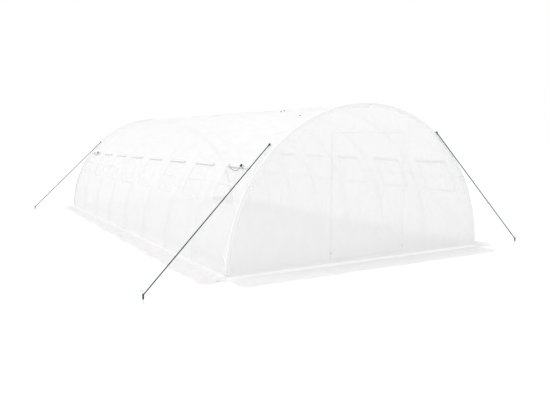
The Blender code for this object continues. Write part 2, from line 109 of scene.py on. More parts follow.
FILM_UNDER_TOP = 0.0015
GABLE_OUT = 0.0016
HOOPS = 9
BAYS = HOOPS - 1
HOOP_Y = np.array([middle(f"hoop_{n}").y for n in range(1, HOOPS + 1)])
BAY = HOOP_Y[1] - HOOP_Y[0]
HOOP_TUBE = extent("hoop_1").y
HOOP_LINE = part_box("hoop_5")[1].z - HOOP_TUBE / 2
HOOP_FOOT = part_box("hoop_5")[0].z
PURLIN_TUBE = extent("ridge_purlin").x
RAIL_TUBE = extent("ground_rail_left").x
RAIL_X = middle("ground_rail_right").x
FILM_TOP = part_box("cover")[1].z
FILM_LINE = FILM_TOP - FILM_UNDER_TOP
COVER_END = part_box("cover")[1].y
GABLE_Y = (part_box("gable_rear")[0].y + COVER_END) / 2 + GABLE_OUT
SIDES = {"left": -1, "right": 1}
ENDS = {"front": -1, "rear": 1}
print(f"hoops every {BAY:.3f} m, hoop line {HOOP_LINE:.4f} m, film line {FILM_LINE:.4f} m")


def radial(side, degrees):
    """The direction away from the tunnel's axis: the side times cos a, nothing along Y, and sin a."""
    turn = np.radians(degrees)
    return np.stack([side * np.cos(turn), np.zeros_like(turn), np.sin(turn)], -1)


def tangent(side, degrees):
    """The direction up and round the arch: the radial direction a quarter turn on."""
    turn = np.radians(degrees)
    return np.stack([-side * np.sin(turn), np.zeros_like(turn), np.cos(turn)], -1)


def smooth_step(share):
    """From 0 to 1 with level ends: 3 s squared less 2 s cubed."""
    share = np.clip(share, 0, 1)
    return share * share * (3 - 2 * share)


# %% [markdown]
# ## Surfaces from arrays
#
# A shape is a grid of points worked out at once. Two kinds serve for nearly everything here: an open sheet,
# whose grid is a function of two parameters, and a closed outline that is carried along a path.

# %% Grids, tubes and blocks
def grid_quads(rows, cols, close_rows=False, close_cols=False):
    """The four corners of each cell of a grid of points, numbered row by row."""
    r = np.arange(rows if close_rows else rows - 1)[:, None]
    c = np.arange(cols if close_cols else cols - 1)[None]
    next_r, next_c = (r + 1) % rows, (c + 1) % cols
    return np.stack([r * cols + c, r * cols + next_c, next_r * cols + next_c, next_r * cols + c], -1)


def unit(arrows):
    """Arrows of length 1 in the same directions."""
    return arrows / np.linalg.norm(arrows, axis=-1, keepdims=True)


def sheet_part(points, keep=None, flip=False, close_cols=False):
    """An open sheet from a grid of points. Cells that keep leaves out are openings."""
    quads = grid_quads(*points.shape[:2], False, close_cols)
    quads = quads.reshape(-1, 4) if keep is None else quads[keep]
    return points.reshape(-1, 3), (quads[:, ::-1] if flip else quads).tolist()


def outward(points, faces):
    """Turns a closed shape's faces outwards, by the sign of the volume that its triangles enclose."""
    fan = np.array([(f[0], f[i], f[i + 1]) for f in faces for i in range(1, len(f) - 1)])
    a, b, c = points[fan].transpose(1, 0, 2)
    inside_out = (a * np.cross(b, c)).sum() < 0
    return points, [f[::-1] for f in faces] if inside_out else faces


def ringed(points, closed=False):
    """A closed shape from rings of points: the last ring meets the first, or each end ring is a face."""
    rows, cols = points.shape[:2]
    faces = grid_quads(rows, cols, closed, True).reshape(-1, 4).tolist()
    if not closed:
        faces += [list(range(cols))[::-1], list(range((rows - 1) * cols, rows * cols))]
    return outward(points.reshape(-1, 3), faces)


def carry(path, outline, hint, closed=False, tangents=None):
    """An outline carried along a path. A point is the path's, plus the outline's first number times the
    side direction and its second times the up direction, which is the hint made square to the path."""
    path = np.asarray(path, float)
    if tangents is None:
        around = np.roll(path, -1, 0) - np.roll(path, 1, 0)
        tangents = around if closed else np.gradient(path, axis=0)
    tangents = unit(np.broadcast_to(np.asarray(tangents, float), path.shape))
    hint = np.broadcast_to(np.asarray(hint, float), path.shape)
    up = unit(hint - (hint * tangents).sum(-1, keepdims=True) * tangents)
    side = np.cross(tangents, up)
    outline = np.broadcast_to(outline, (len(path), *np.shape(outline)[-2:]))
    points = path[:, None] + outline[..., :1] * side[:, None] + outline[..., 1:] * up[:, None]
    return ringed(points, closed)


def circle(sides):
    """Even points round a circle of radius 1."""
    turn = (np.arange(sides) + 0.5) * 2 * math.pi / sides
    return np.stack([np.cos(turn), np.sin(turn)], -1)


def oval(first, second, many):
    """Even points round an oval whose half axes are the two arrows: cos t times one plus sin t times the
    other."""
    t = np.linspace(0, 2 * math.pi, many, endpoint=False)
    return np.outer(np.cos(t), first) + np.outer(np.sin(t), second)


def tube(path, radii, hint, sides=16, closed=False, tangents=None):
    """A round outline carried along a path, with one radius for all or one for each point."""
    sizes = np.broadcast_to(radii, len(path))[:, None, None]
    return carry(path, sizes * circle(sides), hint, closed, tangents)


# %% Turned shapes and blocks
def turned(start, axis, heights, radii, sides=16, hint=None):
    """A turned shape on an axis: its radius at each height above the start. A crosswise hint sets where its
    flats lie."""
    axis = np.asarray(axis, float)
    if hint is None:
        hint = (0, 0, 1) if abs(axis[2]) < 0.5 else (1, 0, 0)
    path = np.asarray(start, float) + np.outer(heights, axis)
    return tube(path, radii, hint, sides, tangents=axis)


def block(centre, out, up, depth, size, bevel=0.0008):
    """A bar with rounded corners and bevelled ends. Its outline is a rectangle whose corners are eighths of a
    turn, carried along the depth direction, and drawn in by the bevel at both ends."""
    half_out, half_up, half_depth = np.asarray(size) / 2
    corner = np.array([[1, 1], [-1, 1], [-1, -1], [1, -1]]).repeat(3, 0)
    turn = np.radians([0, 45, 90, 90, 135, 180, 180, 225, 270, 270, 315, 360])
    round_off = np.stack([np.cos(turn), np.sin(turn)], -1)
    outline = corner * (np.array([half_out, half_up]) - bevel) + bevel * round_off
    small = corner * (np.array([half_out, half_up]) - bevel) + 0.2 * bevel * round_off
    steps = np.array([-half_depth, -half_depth + bevel, half_depth - bevel, half_depth])
    path = np.asarray(centre, float) + np.outer(steps, depth)
    across, along = np.asarray(out, float), np.asarray(up, float)
    rings = np.stack([small, outline, outline, small])
    return ringed(path[:, None] + rings[..., :1] * across + rings[..., 1:] * along)


# %% Several shapes in one
def together(*parts):
    """Several shapes in one, with each one's face numbers moved past the points before it."""
    points, faces, start = [], [], 0
    for part_points, part_faces in parts:
        faces += [[i + start for i in face] for face in part_faces]
        points.append(part_points)
        start += len(part_points)
    return np.vstack(points), faces


def repeated(part, places):
    """The same shape at each place."""
    points, faces = part
    places = np.asarray(places, float)
    moved = (points[None] + places[:, None]).reshape(-1, 3)
    starts = (np.arange(len(places)) * len(points)).tolist()
    return moved, [[i + start for i in face] for start in starts for face in faces]


# %% [markdown]
# ## Pieces
#
# Each shape becomes one object, shaded smooth but for its hard edges, with its finish. It rides on a body,
# if it has one, and the imported nodes that it stands for are hidden.

# %% From a shape to a piece
EDGE_DEG = 40.0
MERGE_UNDER = 1e-5
counts = {"pieces": 0, "faces": 0}


def piece(name, part, finish, body="tunnel", stands_for=(), weld=False, edge_deg=EDGE_DEG):
    """Makes a shape an object, with its finish, its body and the nodes that it stands for."""
    points, faces = part
    mesh = bpy.data.meshes.new(name)
    mesh.from_pydata(np.asarray(points).tolist(), [], faces)
    if weld:
        merge_points(mesh)
    mesh.shade_smooth()
    mesh.set_sharp_from_angle(angle=math.radians(edge_deg))
    mesh.materials.append(finish)
    made = bpy.data.objects.new(name, mesh)
    bpy.context.scene.collection.objects.link(made)
    if stands_for:
        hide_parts(*stands_for)
    if body:
        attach(made, body)
    counts["pieces"] += 1
    counts["faces"] += len(mesh.polygons)
    return made


def merge_points(mesh):
    """Joins points that fell on each other, which closes a grid's collapsed edges."""
    shape = bmesh.new()
    shape.from_mesh(mesh)
    bmesh.ops.remove_doubles(shape, verts=shape.verts, dist=MERGE_UNDER)
    shape.to_mesh(mesh)
    shape.free()


# %% [markdown]
# ## Shader maths as formulas
#
# A material is a small calculation on sockets. One class wraps a socket, so that a sum or a product in Python
# adds the Math node that does it. Any other node comes from one method.

# %% Sockets that add and multiply
class Socket:
    """A node's output. An operator on it adds a Math node and gives that node's output."""

    def __init__(self, tree, output):
        self.tree, self.output = tree, output

    def maths(self, operation, first, second):
        return Finish.node_in(self.tree, "ShaderNodeMath", {"operation": operation}, {0: first, 1: second})

    def __add__(self, other):
        return self.maths("ADD", self, other)

    def __sub__(self, other):
        return self.maths("SUBTRACT", self, other)

    def __rsub__(self, other):
        return self.maths("SUBTRACT", other, self)

    def __mul__(self, other):
        return self.maths("MULTIPLY", self, other)

    def __pow__(self, other):
        return self.maths("POWER", self, other)

    def at_least(self, other):
        return self.maths("MAXIMUM", self, other)

    def at_most(self, other):
        return self.maths("MINIMUM", self, other)

    def below(self, other):
        return self.maths("LESS_THAN", self, other)

    def clamped(self):
        return self.at_least(0.0).at_most(1.0)

    def function(self, operation):
        """A Math node with a single input, such as a sine."""
        return Finish.node_in(self.tree, "ShaderNodeMath", {"operation": operation}, {0: self})

    __radd__ = __add__
    __rmul__ = __mul__


# %% A material, and the one method that adds its nodes
class Finish:
    """A material and the nodes in it."""

    def __init__(self, name):
        self.material = bpy.data.materials.new(name)
        self.material.use_nodes = True
        self.tree = self.material.node_tree
        self.tree.nodes.clear()

    @staticmethod
    def node_in(tree, kind, settings=None, inputs=None, output=0):
        """Adds a node: its settings first, then a value or a link for each socket, by name or number."""
        made = tree.nodes.new(kind)
        for key, value in (settings or {}).items():
            setattr(made, key, value)
        for key, value in (inputs or {}).items():
            Finish.feed(tree, made.inputs[key], value)
        return Socket(tree, made.outputs[output])

    @staticmethod
    def feed(tree, socket, value):
        """Links a socket to a node's input, or sets the input to a plain value."""
        if isinstance(value, Socket):
            tree.links.new(value.output, socket)
        else:
            socket.default_value = value

    def node(self, kind, settings=None, inputs=None, output=0):
        return self.node_in(self.tree, kind, settings, inputs, output)

    def place(self):
        """The point's own place, in metres."""
        return self.node("ShaderNodeTexCoord", output="Object")

    def apart(self, vector):
        split = self.node("ShaderNodeSeparateXYZ", inputs={0: vector})
        return [Socket(self.tree, socket) for socket in split.output.node.outputs]

    def noise(self, scale, detail=3.0, rough=0.55, where=None):
        inputs = {"Vector": where or self.place(), "Scale": scale, "Detail": detail, "Roughness": rough}
        return self.node("ShaderNodeTexNoise", {}, inputs)

    def stretched(self, scale):
        """The place with each axis scaled, which draws a pattern out along the axes that shrink."""
        return self.node("ShaderNodeMapping", {}, {"Vector": self.place(), "Scale": scale})

    def mixed(self, share, first, second):
        made = self.tree.nodes.new("ShaderNodeMix")
        made.data_type = "RGBA"
        sockets = {s.identifier: s for s in made.inputs}
        given = {"Factor_Float": share, "A_Color": (*first, 1.0), "B_Color": (*second, 1.0)}
        for key, value in given.items():
            self.feed(self.tree, sockets[key], value)
        return Socket(self.tree, next(s for s in made.outputs if s.identifier == "Result_Color"))

    def bump(self, height, strength, depth):
        inputs = {"Height": height, "Strength": strength, "Distance": depth}
        return self.node("ShaderNodeBump", {}, inputs)

    def principled(self, colour, roughness, normal=None, metallic=0.0, **more):
        inputs = {"Roughness": roughness, "Metallic": metallic, **more}
        inputs["Base Color"] = colour if isinstance(colour, Socket) else (*colour, 1.0)
        if normal:
            inputs["Normal"] = normal
        return self.node("ShaderNodeBsdfPrincipled", {}, inputs)

    def blended(self, share, first, second):
        return self.node("ShaderNodeMixShader", {}, {0: share, 1: first, 2: second})

    def done(self, surface):
        last = self.tree.nodes.new("ShaderNodeOutputMaterial")
        self.tree.links.new(surface.output, last.inputs["Surface"])
        return self.material


# %% [markdown]
# ## Finishes
#
# The film is thin milky plastic: part of the light goes straight through, part scatters through and glows on
# the other side, and the rest comes back from a slightly shiny face. So its material mixes a Principled
# shader with a Translucent one, and both with a Transparent one. Cloudy patches and long dents vary how much
# shows through. Low on its sides the cover has a painted highlight just behind each hoop and painted shade
# that grows towards the next one. A skirt is greyer away from its fold, with painted shade along its creases.

# %% Film, skirt and net
MILKY = (0.986, 0.983, 0.984)
# How much darker the film gets from its random tone and from its painted shade.
DIM_TONE_AND_SHADE = 0.962
DENT_STRENGTH, DENT_DEPTH = 0.14, 0.015
HOOP_SHADING_TOP, HOOP_SHADING_FADE = 1.05, 0.25
HOOP_SHADING_GLOW = 0.22
SKIRT_BEND = 0.045
SKIRT_GLOW = 0.20
NET_PITCH = 0.0045
NET_THREAD = 0.33
NET_COVER = 0.85
NET_WHITE = (0.900, 0.895, 0.897)


def hoop_light_and_shade(f):
    """Two shares, low on the sides: a painted highlight just behind each hoop, where the film is stretched over
    it, and painted shade that grows towards the front of the next hoop. Both come from the place in the bay."""
    place = f.apart(f.place())
    in_bay = ((place[1] - HOOP_Y[0]) * (1 / BAY)).function("FRACT")
    low = ((HOOP_SHADING_TOP - place[2]) * (1 / HOOP_SHADING_FADE)).clamped()
    stretched = (1 - in_bay * 9).at_least(0.0) * low
    return stretched, (in_bay * 0.25 + (in_bay * 6 - 5).at_least(0.0)) * low


def film_finish(name, colour, cover, glow, dull, hoop_shading=False):
    """Film. cover is the share of what lies behind it that it hides, glow the share of its light that
    scatters through it, and dull its least roughness. The last argument adds a painted highlight just behind
    each hoop, painted shade towards the next one, and less glow just behind each hoop."""
    f = Finish(name)
    drift = f.noise(1.3, 4.0)
    small = f.noise(26.0, 3.0, 0.6)
    long_dents = f.noise(5.5, 4.0, 0.62, f.stretched((1.6, 0.55, 1.0)))
    darker = drift * 0.4
    if hoop_shading:
        # Painted highlight just behind each hoop, and painted shade that grows towards the next one.
        stretched, greying = hoop_light_and_shade(f)
        darker = darker + greying * 0.45 - stretched * 0.2
        glow = glow - stretched * HOOP_SHADING_GLOW
    tint = f.mixed(darker, colour, tuple(c * DIM_TONE_AND_SHADE for c in colour))
    normal = f.bump(long_dents * 0.8 + small * 0.2, DENT_STRENGTH, DENT_DEPTH)
    face = f.principled(tint, small * 0.18 + dull, normal)
    through = f.node("ShaderNodeBsdfTranslucent", {}, {"Color": (*colour, 1.0), "Normal": normal})
    body = f.blended(glow, face, through)
    clear = f.node("ShaderNodeBsdfTransparent")
    share = (drift - 0.5) * 0.05 + (long_dents - 0.5) * 0.07 + cover
    return f.done(f.blended(share.at_least(0.05).at_most(0.98), clear, body))


def skirt_finish(name, across, fold, near, far, glow):
    """Film on the ground, by its distance from the fold along one axis: as clear as a wall where it still
    stands, light where it bends, then greyer, with painted shade along its creases, which are the places
    where a noise passes its middle."""
    f = Finish(name)
    place = f.apart(f.place())
    away = place[across].function("ABSOLUTE") - fold
    greying = ((away - SKIRT_BEND * 0.6) * (1.5 / SKIRT_BEND)).clamped()
    stands = ((place[2] - 0.022) * 70).clamped() * (1 - greying)
    crease = (1 - (f.noise(4.2, 3.0) - 0.5).function("ABSOLUTE") * 16).at_least(0.0)
    cloud = f.noise(1.7, 4.0)
    # Painted shade: the tint darkens along the creases, on top of the greying away from the fold.
    tint = f.mixed(greying * (0.35 + 0.55 * cloud) + greying * crease * 0.45, near, far)
    normal = f.bump(f.noise(7.0, 4.0, 0.6) + crease * 0.3, 0.3, 0.03)
    face = f.principled(tint, f.noise(26.0) * 0.18 + 0.34, normal)
    through = f.node("ShaderNodeBsdfTranslucent", {}, {"Color": (*near, 1.0), "Normal": normal})
    clear = f.node("ShaderNodeBsdfTransparent")
    body = f.blended(glow + greying.at_least(stands) * (SKIRT_GLOW - glow), face, through)
    return f.done(f.blended(0.97 - greying * 0.06 - stands * 0.28 + cloud * 0.02, clear, body))


def net_finish():
    """Insect net: a square mesh of white threads, drawn as two sets of lines."""
    f = Finish("insect_net")
    _, y, z = f.apart(f.place())

    def lines(value):
        return (value * (1 / NET_PITCH)).function("FRACT").below(NET_THREAD)

    threads = lines(y).at_least(lines(z))
    face = f.principled(NET_WHITE, 0.7)
    return f.done(f.blended(threads * NET_COVER, f.node("ShaderNodeBsdfTransparent"), face))


COVER_FILM = film_finish("cover_film", MILKY, 0.80, 0.40, 0.30, hoop_shading=True)
GABLE_FILM = film_finish("gable_film", MILKY, 0.66, 0.20, 0.30)
DOOR_FILM = film_finish("door_film", MILKY, 0.66, 0.20, 0.30)
# Painted light: side and end skirts are one film in two tones. The end skirts are drawn lighter, and their fold
# has no glow, so that it shows as a light line.
SIDE_SKIRT_FILM = skirt_finish(
    "side_skirt_film", 0, HOOP_LINE, (0.985, 0.980, 0.982), (0.880, 0.862, 0.870), 0.45
)
END_SKIRT_FILM = skirt_finish(
    "end_skirt_film", 1, GABLE_Y, (0.995, 0.993, 0.994), (0.900, 0.884, 0.890), 0.0
)
HEM_FILM = film_finish("hem_film", (0.962, 0.959, 0.960), 0.72, 0.08, 0.36)
SEAM_FILM = film_finish("seam_film", (0.975, 0.972, 0.973), 0.95, 0.03, 0.40)
TAPE_FILM = film_finish("tape_film", MILKY, 0.05, 0.30, 0.36)
# Painted shade: the roll is the same film drawn a little darker, which tones down its lit top.
ROLL_FILM = film_finish("roll_film", (0.968, 0.965, 0.966), 0.95, 0.16, 0.40)
INSECT_NET = net_finish()
print("film, skirt and net finishes")

# %% [markdown]
# The frame is steel tube with a white powder coat, which has a fine orange-peel skin. Bolts and pegs are zinc
# plated: cloudy, with scattered bright grains. The rope is a green braid, so its own geometry carries the
# strands, and the material adds the fine threads on them. A picture of a braid would look coarse close up.

# %% Steel, plastic and rope
def coated_steel():
    """White powder coat, with a fine orange-peel skin and a shine that is a little uneven."""
    f = Finish("coated_steel")
    peel = f.noise(900.0, 2.0)
    wear = f.noise(7.0, 4.0)
    tint = f.mixed(wear, (0.985, 0.985, 0.985), (0.968, 0.970, 0.972))
    return f.done(f.principled(tint, wear * 0.15 + 0.25, f.bump(peel, 0.25, 0.0004)))


def plated_steel(name, light, dark, dull):
    """Zinc plate: a cloudy noise for the shade, and the cells of a Voronoi pattern for the bright grains."""
    f = Finish(name)
    cloud = f.noise(60.0, 4.0, 0.65)
    grains = f.node("ShaderNodeTexVoronoi", {}, {"Vector": f.place(), "Scale": 420.0}, output="Color")
    grain = f.apart(grains)[0]
    tint = f.mixed(cloud * 0.7 + grain * 0.3, light, dark)
    normal = f.bump(grain, 0.12, 0.0002)
    return f.done(f.principled(tint, cloud * 0.25 + dull, normal, metallic=1.0))


def moulded(name, colour, dull, cover=1.0):
    """Moulded plastic with a fine grain, which hides the given share of what lies behind it."""
    f = Finish(name)
    tint = f.mixed(f.noise(30.0), colour, tuple(c * 0.85 for c in colour))
    normal = f.bump(f.noise(1500.0, 2.0), 0.2, 0.0003)
    face = f.principled(tint, f.noise(80.0) * 0.15 + dull, normal)
    return f.done(f.blended(cover, f.node("ShaderNodeBsdfTransparent"), face) if cover < 1 else face)


def woven(name, light, dark, pitch, gloss=0.5):
    """A woven or braided cord: fine slanting threads, painted lighter on top, with painted shade between them.
    """
    f = Finish(name)
    x, y, z = f.apart(f.place())
    slant = ((x + y + z) * (2 * math.pi / pitch)).function("SINE")
    other = ((x - y + z) * (2 * math.pi / pitch)).function("SINE")
    weave = slant * other * 0.5 + 0.5
    fuzz = f.noise(700.0, 3.0)
    # Painted shade between the threads, mixed with a fuzz that varies the tone.
    tint = f.mixed(weave * 0.55 + fuzz * 0.45, dark, light)
    normal = f.bump(weave + fuzz * 0.4, 0.5, pitch / 6)
    return f.done(f.principled(tint, fuzz * 0.2 + 0.75, normal, **{"Specular IOR Level": gloss}))


COATED_STEEL = coated_steel()
BOLT_STEEL = plated_steel("plated_bolts", (0.72, 0.73, 0.74), (0.50, 0.51, 0.53), 0.25)
PEG_STEEL = plated_steel("peg_wire", (0.80, 0.81, 0.82), (0.62, 0.63, 0.65), 0.28)
GREEN_BRAID = woven("green_braid", (0.012, 0.088, 0.062), (0.004, 0.042, 0.029), 0.0035, gloss=0.2)
WHITE_WEBBING = woven("white_webbing", (0.985, 0.985, 0.980), (0.90, 0.90, 0.895), 0.003)
BLACK_CORD = woven("black_cord", (0.030, 0.030, 0.032), (0.008, 0.008, 0.009), 0.002)
BLACK_PLASTIC = moulded("black_plastic", (0.022, 0.022, 0.024), 0.35)
ZIP_PLASTIC = moulded("zip_plastic", (0.985, 0.985, 0.98), 0.35, cover=0.12)
print("steel, plastic and rope finishes")

# %% [markdown]
# ## The steel frame
#
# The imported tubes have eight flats. Each one is drawn again here as a smooth tube on the same line. A curve
# with a bevel could draw it too, but a circle that is carried along a path can change its size on the way. A
# hoop is three lengths that push into each other, so it has a sleeve at 45 and at 135 degrees.

# %% Hoops
SLEEVE_DEG = (45.0, 135.0)
SLEEVE_LENGTH = 0.09
SLEEVE_WALL = 0.0012
SLEEVE_RINGS = 9
HOOP_RINGS = 145
TUBE_SIDES = 20


def hoop_path(y, turn):
    """The middle line of a hoop: the axis distance times cos and sin of the turn."""
    return np.stack([HOOP_LINE * np.cos(turn), np.full_like(turn, y), HOOP_LINE * np.sin(turn)], -1)


def hoop_part(y):
    """A tube round a half circle from foot to foot, with a sleeve over each joint."""
    foot = math.asin(HOOP_FOOT / HOOP_LINE)
    arch = hoop_path(y, np.linspace(foot, math.pi - foot, HOOP_RINGS))
    parts = [tube(arch, HOOP_TUBE / 2, (0, 1, 0), TUBE_SIDES)]
    reach = math.degrees(SLEEVE_LENGTH / 2 / HOOP_LINE)
    for degrees in SLEEVE_DEG:
        turn = np.radians(np.linspace(degrees - reach, degrees + reach, SLEEVE_RINGS))
        turn = np.concatenate([turn[:1], turn, turn[-1:]])
        radii = np.full(len(turn), HOOP_TUBE / 2 + SLEEVE_WALL)
        radii[[0, -1]] -= SLEEVE_WALL * 0.9
        along = tangent(1, np.degrees(turn))
        parts.append(tube(hoop_path(y, turn), radii, (0, 1, 0), TUBE_SIDES, tangents=along))
    return together(*parts)


for number, y in enumerate(HOOP_Y, 1):
    piece(f"steel_hoop_{number}", hoop_part(y), COATED_STEEL, stands_for=[f"hoop_{number}"])
print(f"{HOOPS} hoops")

# %% [markdown]
# Three straight tubes run along under the hoops, at the ridge and low on each side, and four more lie on the
# ground. A cylinder would do for the tube alone. A turned profile gives its bevelled rim as well, and the
# plastic plug that closes each end.

# %% Purlins and ground rails
PURLIN_DEG = {"ridge_purlin": 90.0, "side_purlin_left": 31.0, "side_purlin_right": 31.0}
FIT_GAP = 0.0003
PURLIN_DROP = 0.0005
TUBE_BEVEL = 0.0008
TUBE_SHARES = (0.94, 1, 1, 0.94)
PLUG_HEIGHTS = (-0.001, 0.0004, 0.0012, 0.0016)
PLUG_SHARES = (0.80, 0.80, 0.6, 0.25)


def capped_tube(start, end, diameter, hint):
    """A straight tube with a low domed plug in each end."""
    start, end = np.asarray(start, float), np.asarray(end, float)
    along, radius = unit(end - start), diameter / 2
    length = np.linalg.norm(end - start)
    heights = [0, TUBE_BEVEL, length - TUBE_BEVEL, length]
    steel = turned(start, along, heights, radius * np.array(TUBE_SHARES), TUBE_SIDES, hint)
    plugs = [
        turned(place, way, PLUG_HEIGHTS, radius * np.array(PLUG_SHARES), TUBE_SIDES, hint)
        for place, way in ((start, -along), (end, along))
    ]
    return together(steel, *plugs)


def purlin_line(name):
    """The purlin's place: straight under the hoops, at its own angle."""
    side = -1 if name.endswith("left") else 1
    degrees = PURLIN_DEG[name]
    away = HOOP_LINE - HOOP_TUBE / 2 - FIT_GAP - PURLIN_TUBE / 2 - PURLIN_DROP
    return side, degrees, radial(side, degrees) * away


for name in PURLIN_DEG:
    side, degrees, centre = purlin_line(name)
    reach = np.array([0, COVER_END, 0])
    tube_part = capped_tube(centre - reach, centre + reach, PURLIN_TUBE, (1, 0, 0.2))
    piece(f"steel_{name}", tube_part, COATED_STEEL, stands_for=[name])
for name in ("left", "right", "front", "rear"):
    node = f"ground_rail_{name}"
    centre, size = middle(node), extent(node)
    along = np.array([0, size.y / 2, 0]) if size.y > size.x else np.array([size.x / 2, 0, 0])
    rail = capped_tube(np.array(centre) - along, np.array(centre) + along, RAIL_TUBE, (0, 0, 1))
    piece(f"steel_{node}", rail, COATED_STEEL, stands_for=[node])
print("3 purlins and 4 ground rails")

# %% [markdown]
# A saddle clamp holds each hoop on each purlin: a bent plate under the purlin, whose two cheeks rise beside
# the hoop, and a bolt through both with a wing nut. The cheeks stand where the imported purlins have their
# lugs. Bevelled blocks and turned shapes are enough for all of it, as the bevels catch the light.

# %% Clamps
CHEEK, CHEEK_GAP = 0.003, 0.0004
CHEEK_WIDE, CHEEK_PAST_BOLT = 0.026, 0.006
PLATE, PLATE_OUT = 0.0025, 0.0015
BOLT, BOLT_BEHIND, BOLT_PAST = 0.006, 0.001, 0.012
BOLT_HEAD = ([0.0002, 0.0036, 0.0044], [0.0058, 0.0058, 0.005])
BOLT_WASHER = ([0.0002, 0.0014], [0.0075, 0.0075])
WING_HUB = ([0.0015, 0.006, 0.0075], [0.0052, 0.0046, 0.0036])
WING = (0.0018, 0.008, 0.013)
WING_UP, WING_OUT, WING_BEVEL = 0.0045, 0.0095, 0.0007


def clamp_part(side, degrees, purlin_centre, y):
    """A clamp's two cheeks and its plate, the middle of the hoop there, and how far the bolt reaches."""
    out, up = radial(side, degrees), tangent(side, degrees)
    hand = np.array([0, 1.0, 0])
    hoop = out * HOOP_LINE + hand * y
    base = purlin_centre + hand * y - out * (PURLIN_TUBE / 2 + PLATE_OUT)
    tall = np.linalg.norm(hoop - base) + CHEEK_PAST_BOLT
    gap = HOOP_TUBE / 2 + CHEEK_GAP + CHEEK / 2
    cheeks = [
        block(base + out * tall / 2 + hand * gap * way, out, up, hand, (tall, CHEEK_WIDE, CHEEK))
        for way in (-1, 1)
    ]
    under = block(base, up, hand, out, (CHEEK_WIDE, 2 * gap + CHEEK, PLATE))
    return together(*cheeks, under), hoop, gap + CHEEK / 2


def bolt_part(centre, along, reach, up):
    """A bolt with a six-sided head at one end, and a hub with two wings at the other. Each turned shape is
    given as its heights and its radii."""
    along, up = np.asarray(along, float), np.asarray(up, float)
    side = np.cross(along, up)
    end = np.asarray(centre) + along * reach
    start = centre - along * (reach + BOLT_BEHIND)
    shaft = turned(start, along, [0, 2 * reach + BOLT_PAST], [BOLT / 2] * 2, 12)
    head = turned(centre - along * reach, -along, *BOLT_HEAD, 6)
    washer = turned(end, along, *BOLT_WASHER, 20)
    hub = turned(end, along, *WING_HUB, 16)
    wings = []
    for way in (-1, 1):
        lean = unit(side * way * 0.85 + along * 0.5)
        middle_of_wing = end + along * WING_UP + lean * WING_OUT
        wings.append(block(middle_of_wing, np.cross(lean, up), up, lean, WING, WING_BEVEL))
    return together(shaft, head, washer, hub, *wings)


for name in PURLIN_DEG:
    side, degrees, centre = purlin_line(name)
    clamps, bolts = [], []
    for number, y in enumerate(HOOP_Y):
        inwards = 1 if number < HOOPS - 1 else -1
        plate, hoop, reach = clamp_part(side, degrees, centre, y)
        clamps.append(plate)
        bolts.append(bolt_part(hoop, (0, inwards, 0), reach, radial(side, degrees)))
    piece(f"clamps_{name}", together(*clamps), COATED_STEEL)
    piece(f"clamp_bolts_{name}", together(*bolts), BOLT_STEEL)
print(f"{3 * HOOPS} clamps with their bolts")

# %% [markdown]
# Each hoop stands in a socket on the ground rail: two short sleeves that cross, the lower one flattened where
# it lies on the ground. At the tunnel's ends the lower sleeve is cut short. A screw on the inside keeps the
# hoop's foot in.

# %% Foot sockets
SOCKET_WALL = 0.0013
SOCKET_SHARES = np.array([0.95, 1, 1, 0.95])
SOCKET_REACH, SOCKET_PAST_END = 0.032, 0.0135
SOCKET_EDGE = 0.001
SOCKET_UNDER = 0.0002
STUB_HEIGHTS = (0.006, 0.060, 0.061, 0.061)
STUB_SHARES = np.array([1, 1, 0.96, 0.92])
STUB_LEAN_DEG = 1.1
SCREW = ([0, 0.0015, 0.0028, 0.0034], [0.006, 0.006, 0.004, 0.0015])
SCREW_HEIGHT, SCREW_IN = 0.045, 0.0012


def socket_part(side, y, end):
    """A sleeve up round the hoop's foot, and one along the ground rail that is flattened underneath."""
    foot = np.array([side * RAIL_X, y, RAIL_TUBE / 2])
    start, stop = -SOCKET_REACH, SOCKET_REACH
    if abs(end):
        start, stop = sorted((end * SOCKET_PAST_END, -end * SOCKET_REACH))
    steps = np.array([start, start + SOCKET_EDGE, stop - SOCKET_EDGE, stop])
    sleeve = turned(foot, (0, 1, 0), steps, (RAIL_TUBE / 2 + SOCKET_WALL) * SOCKET_SHARES, 24, (0, 0, 1))
    sleeve[0][:, 2] = np.maximum(sleeve[0][:, 2], SOCKET_UNDER)
    radii = (HOOP_TUBE / 2 + SOCKET_WALL) * STUB_SHARES
    stub = turned(foot, unit(tangent(side, STUB_LEAN_DEG)), STUB_HEIGHTS, radii, 24, (0, 1, 0))
    return together(sleeve, stub)


for side_name, side in SIDES.items():
    sockets, bolts = [], []
    for number, y in enumerate(HOOP_Y):
        end = -1 if number == 0 else 1 if number == HOOPS - 1 else 0
        sockets.append(socket_part(side, y, end))
        screw = np.array([side * (RAIL_X - HOOP_TUBE / 2 - SCREW_IN), y, SCREW_HEIGHT])
        bolts.append(turned(screw, (-side, 0, 0), *SCREW, 12))
    piece(f"foot_sockets_{side_name}", together(*sockets), COATED_STEEL)
    piece(f"foot_screws_{side_name}", together(*bolts), BOLT_STEEL)
print(f"{2 * HOOPS} foot sockets")

# %% [markdown]
# A brace runs from the foot of each end hoop up to the next hoop, and keeps the tunnel from leaning. On the
# real frame it is a tube whose ends are pressed flat and bolted on. Its outline is an ellipse all the way, so
# that the flat ends and the round middle are one surface, with nothing to be joined.

# %% Corner braces
BRACE_ROUND, BRACE_FLAT, BRACE_WIDE = 0.010, 0.0025, 0.0157
BRACE_TIP = 0.72
BRACE_DEG = (3.0, 28.5)
BRACE_DROP = 0.0008
BRACE_IN = 0.012
TAB_END, TAB_LENGTH, FLARE = 0.010, 0.024, 0.030
BRACE_STEPS = (5, 9, 24, 9, 5)
BRACE_HEAD_IN = 0.003
BRACE_HEAD = ([0, 0.0032, 0.0042], [0.0062, 0.0062, 0.0052])


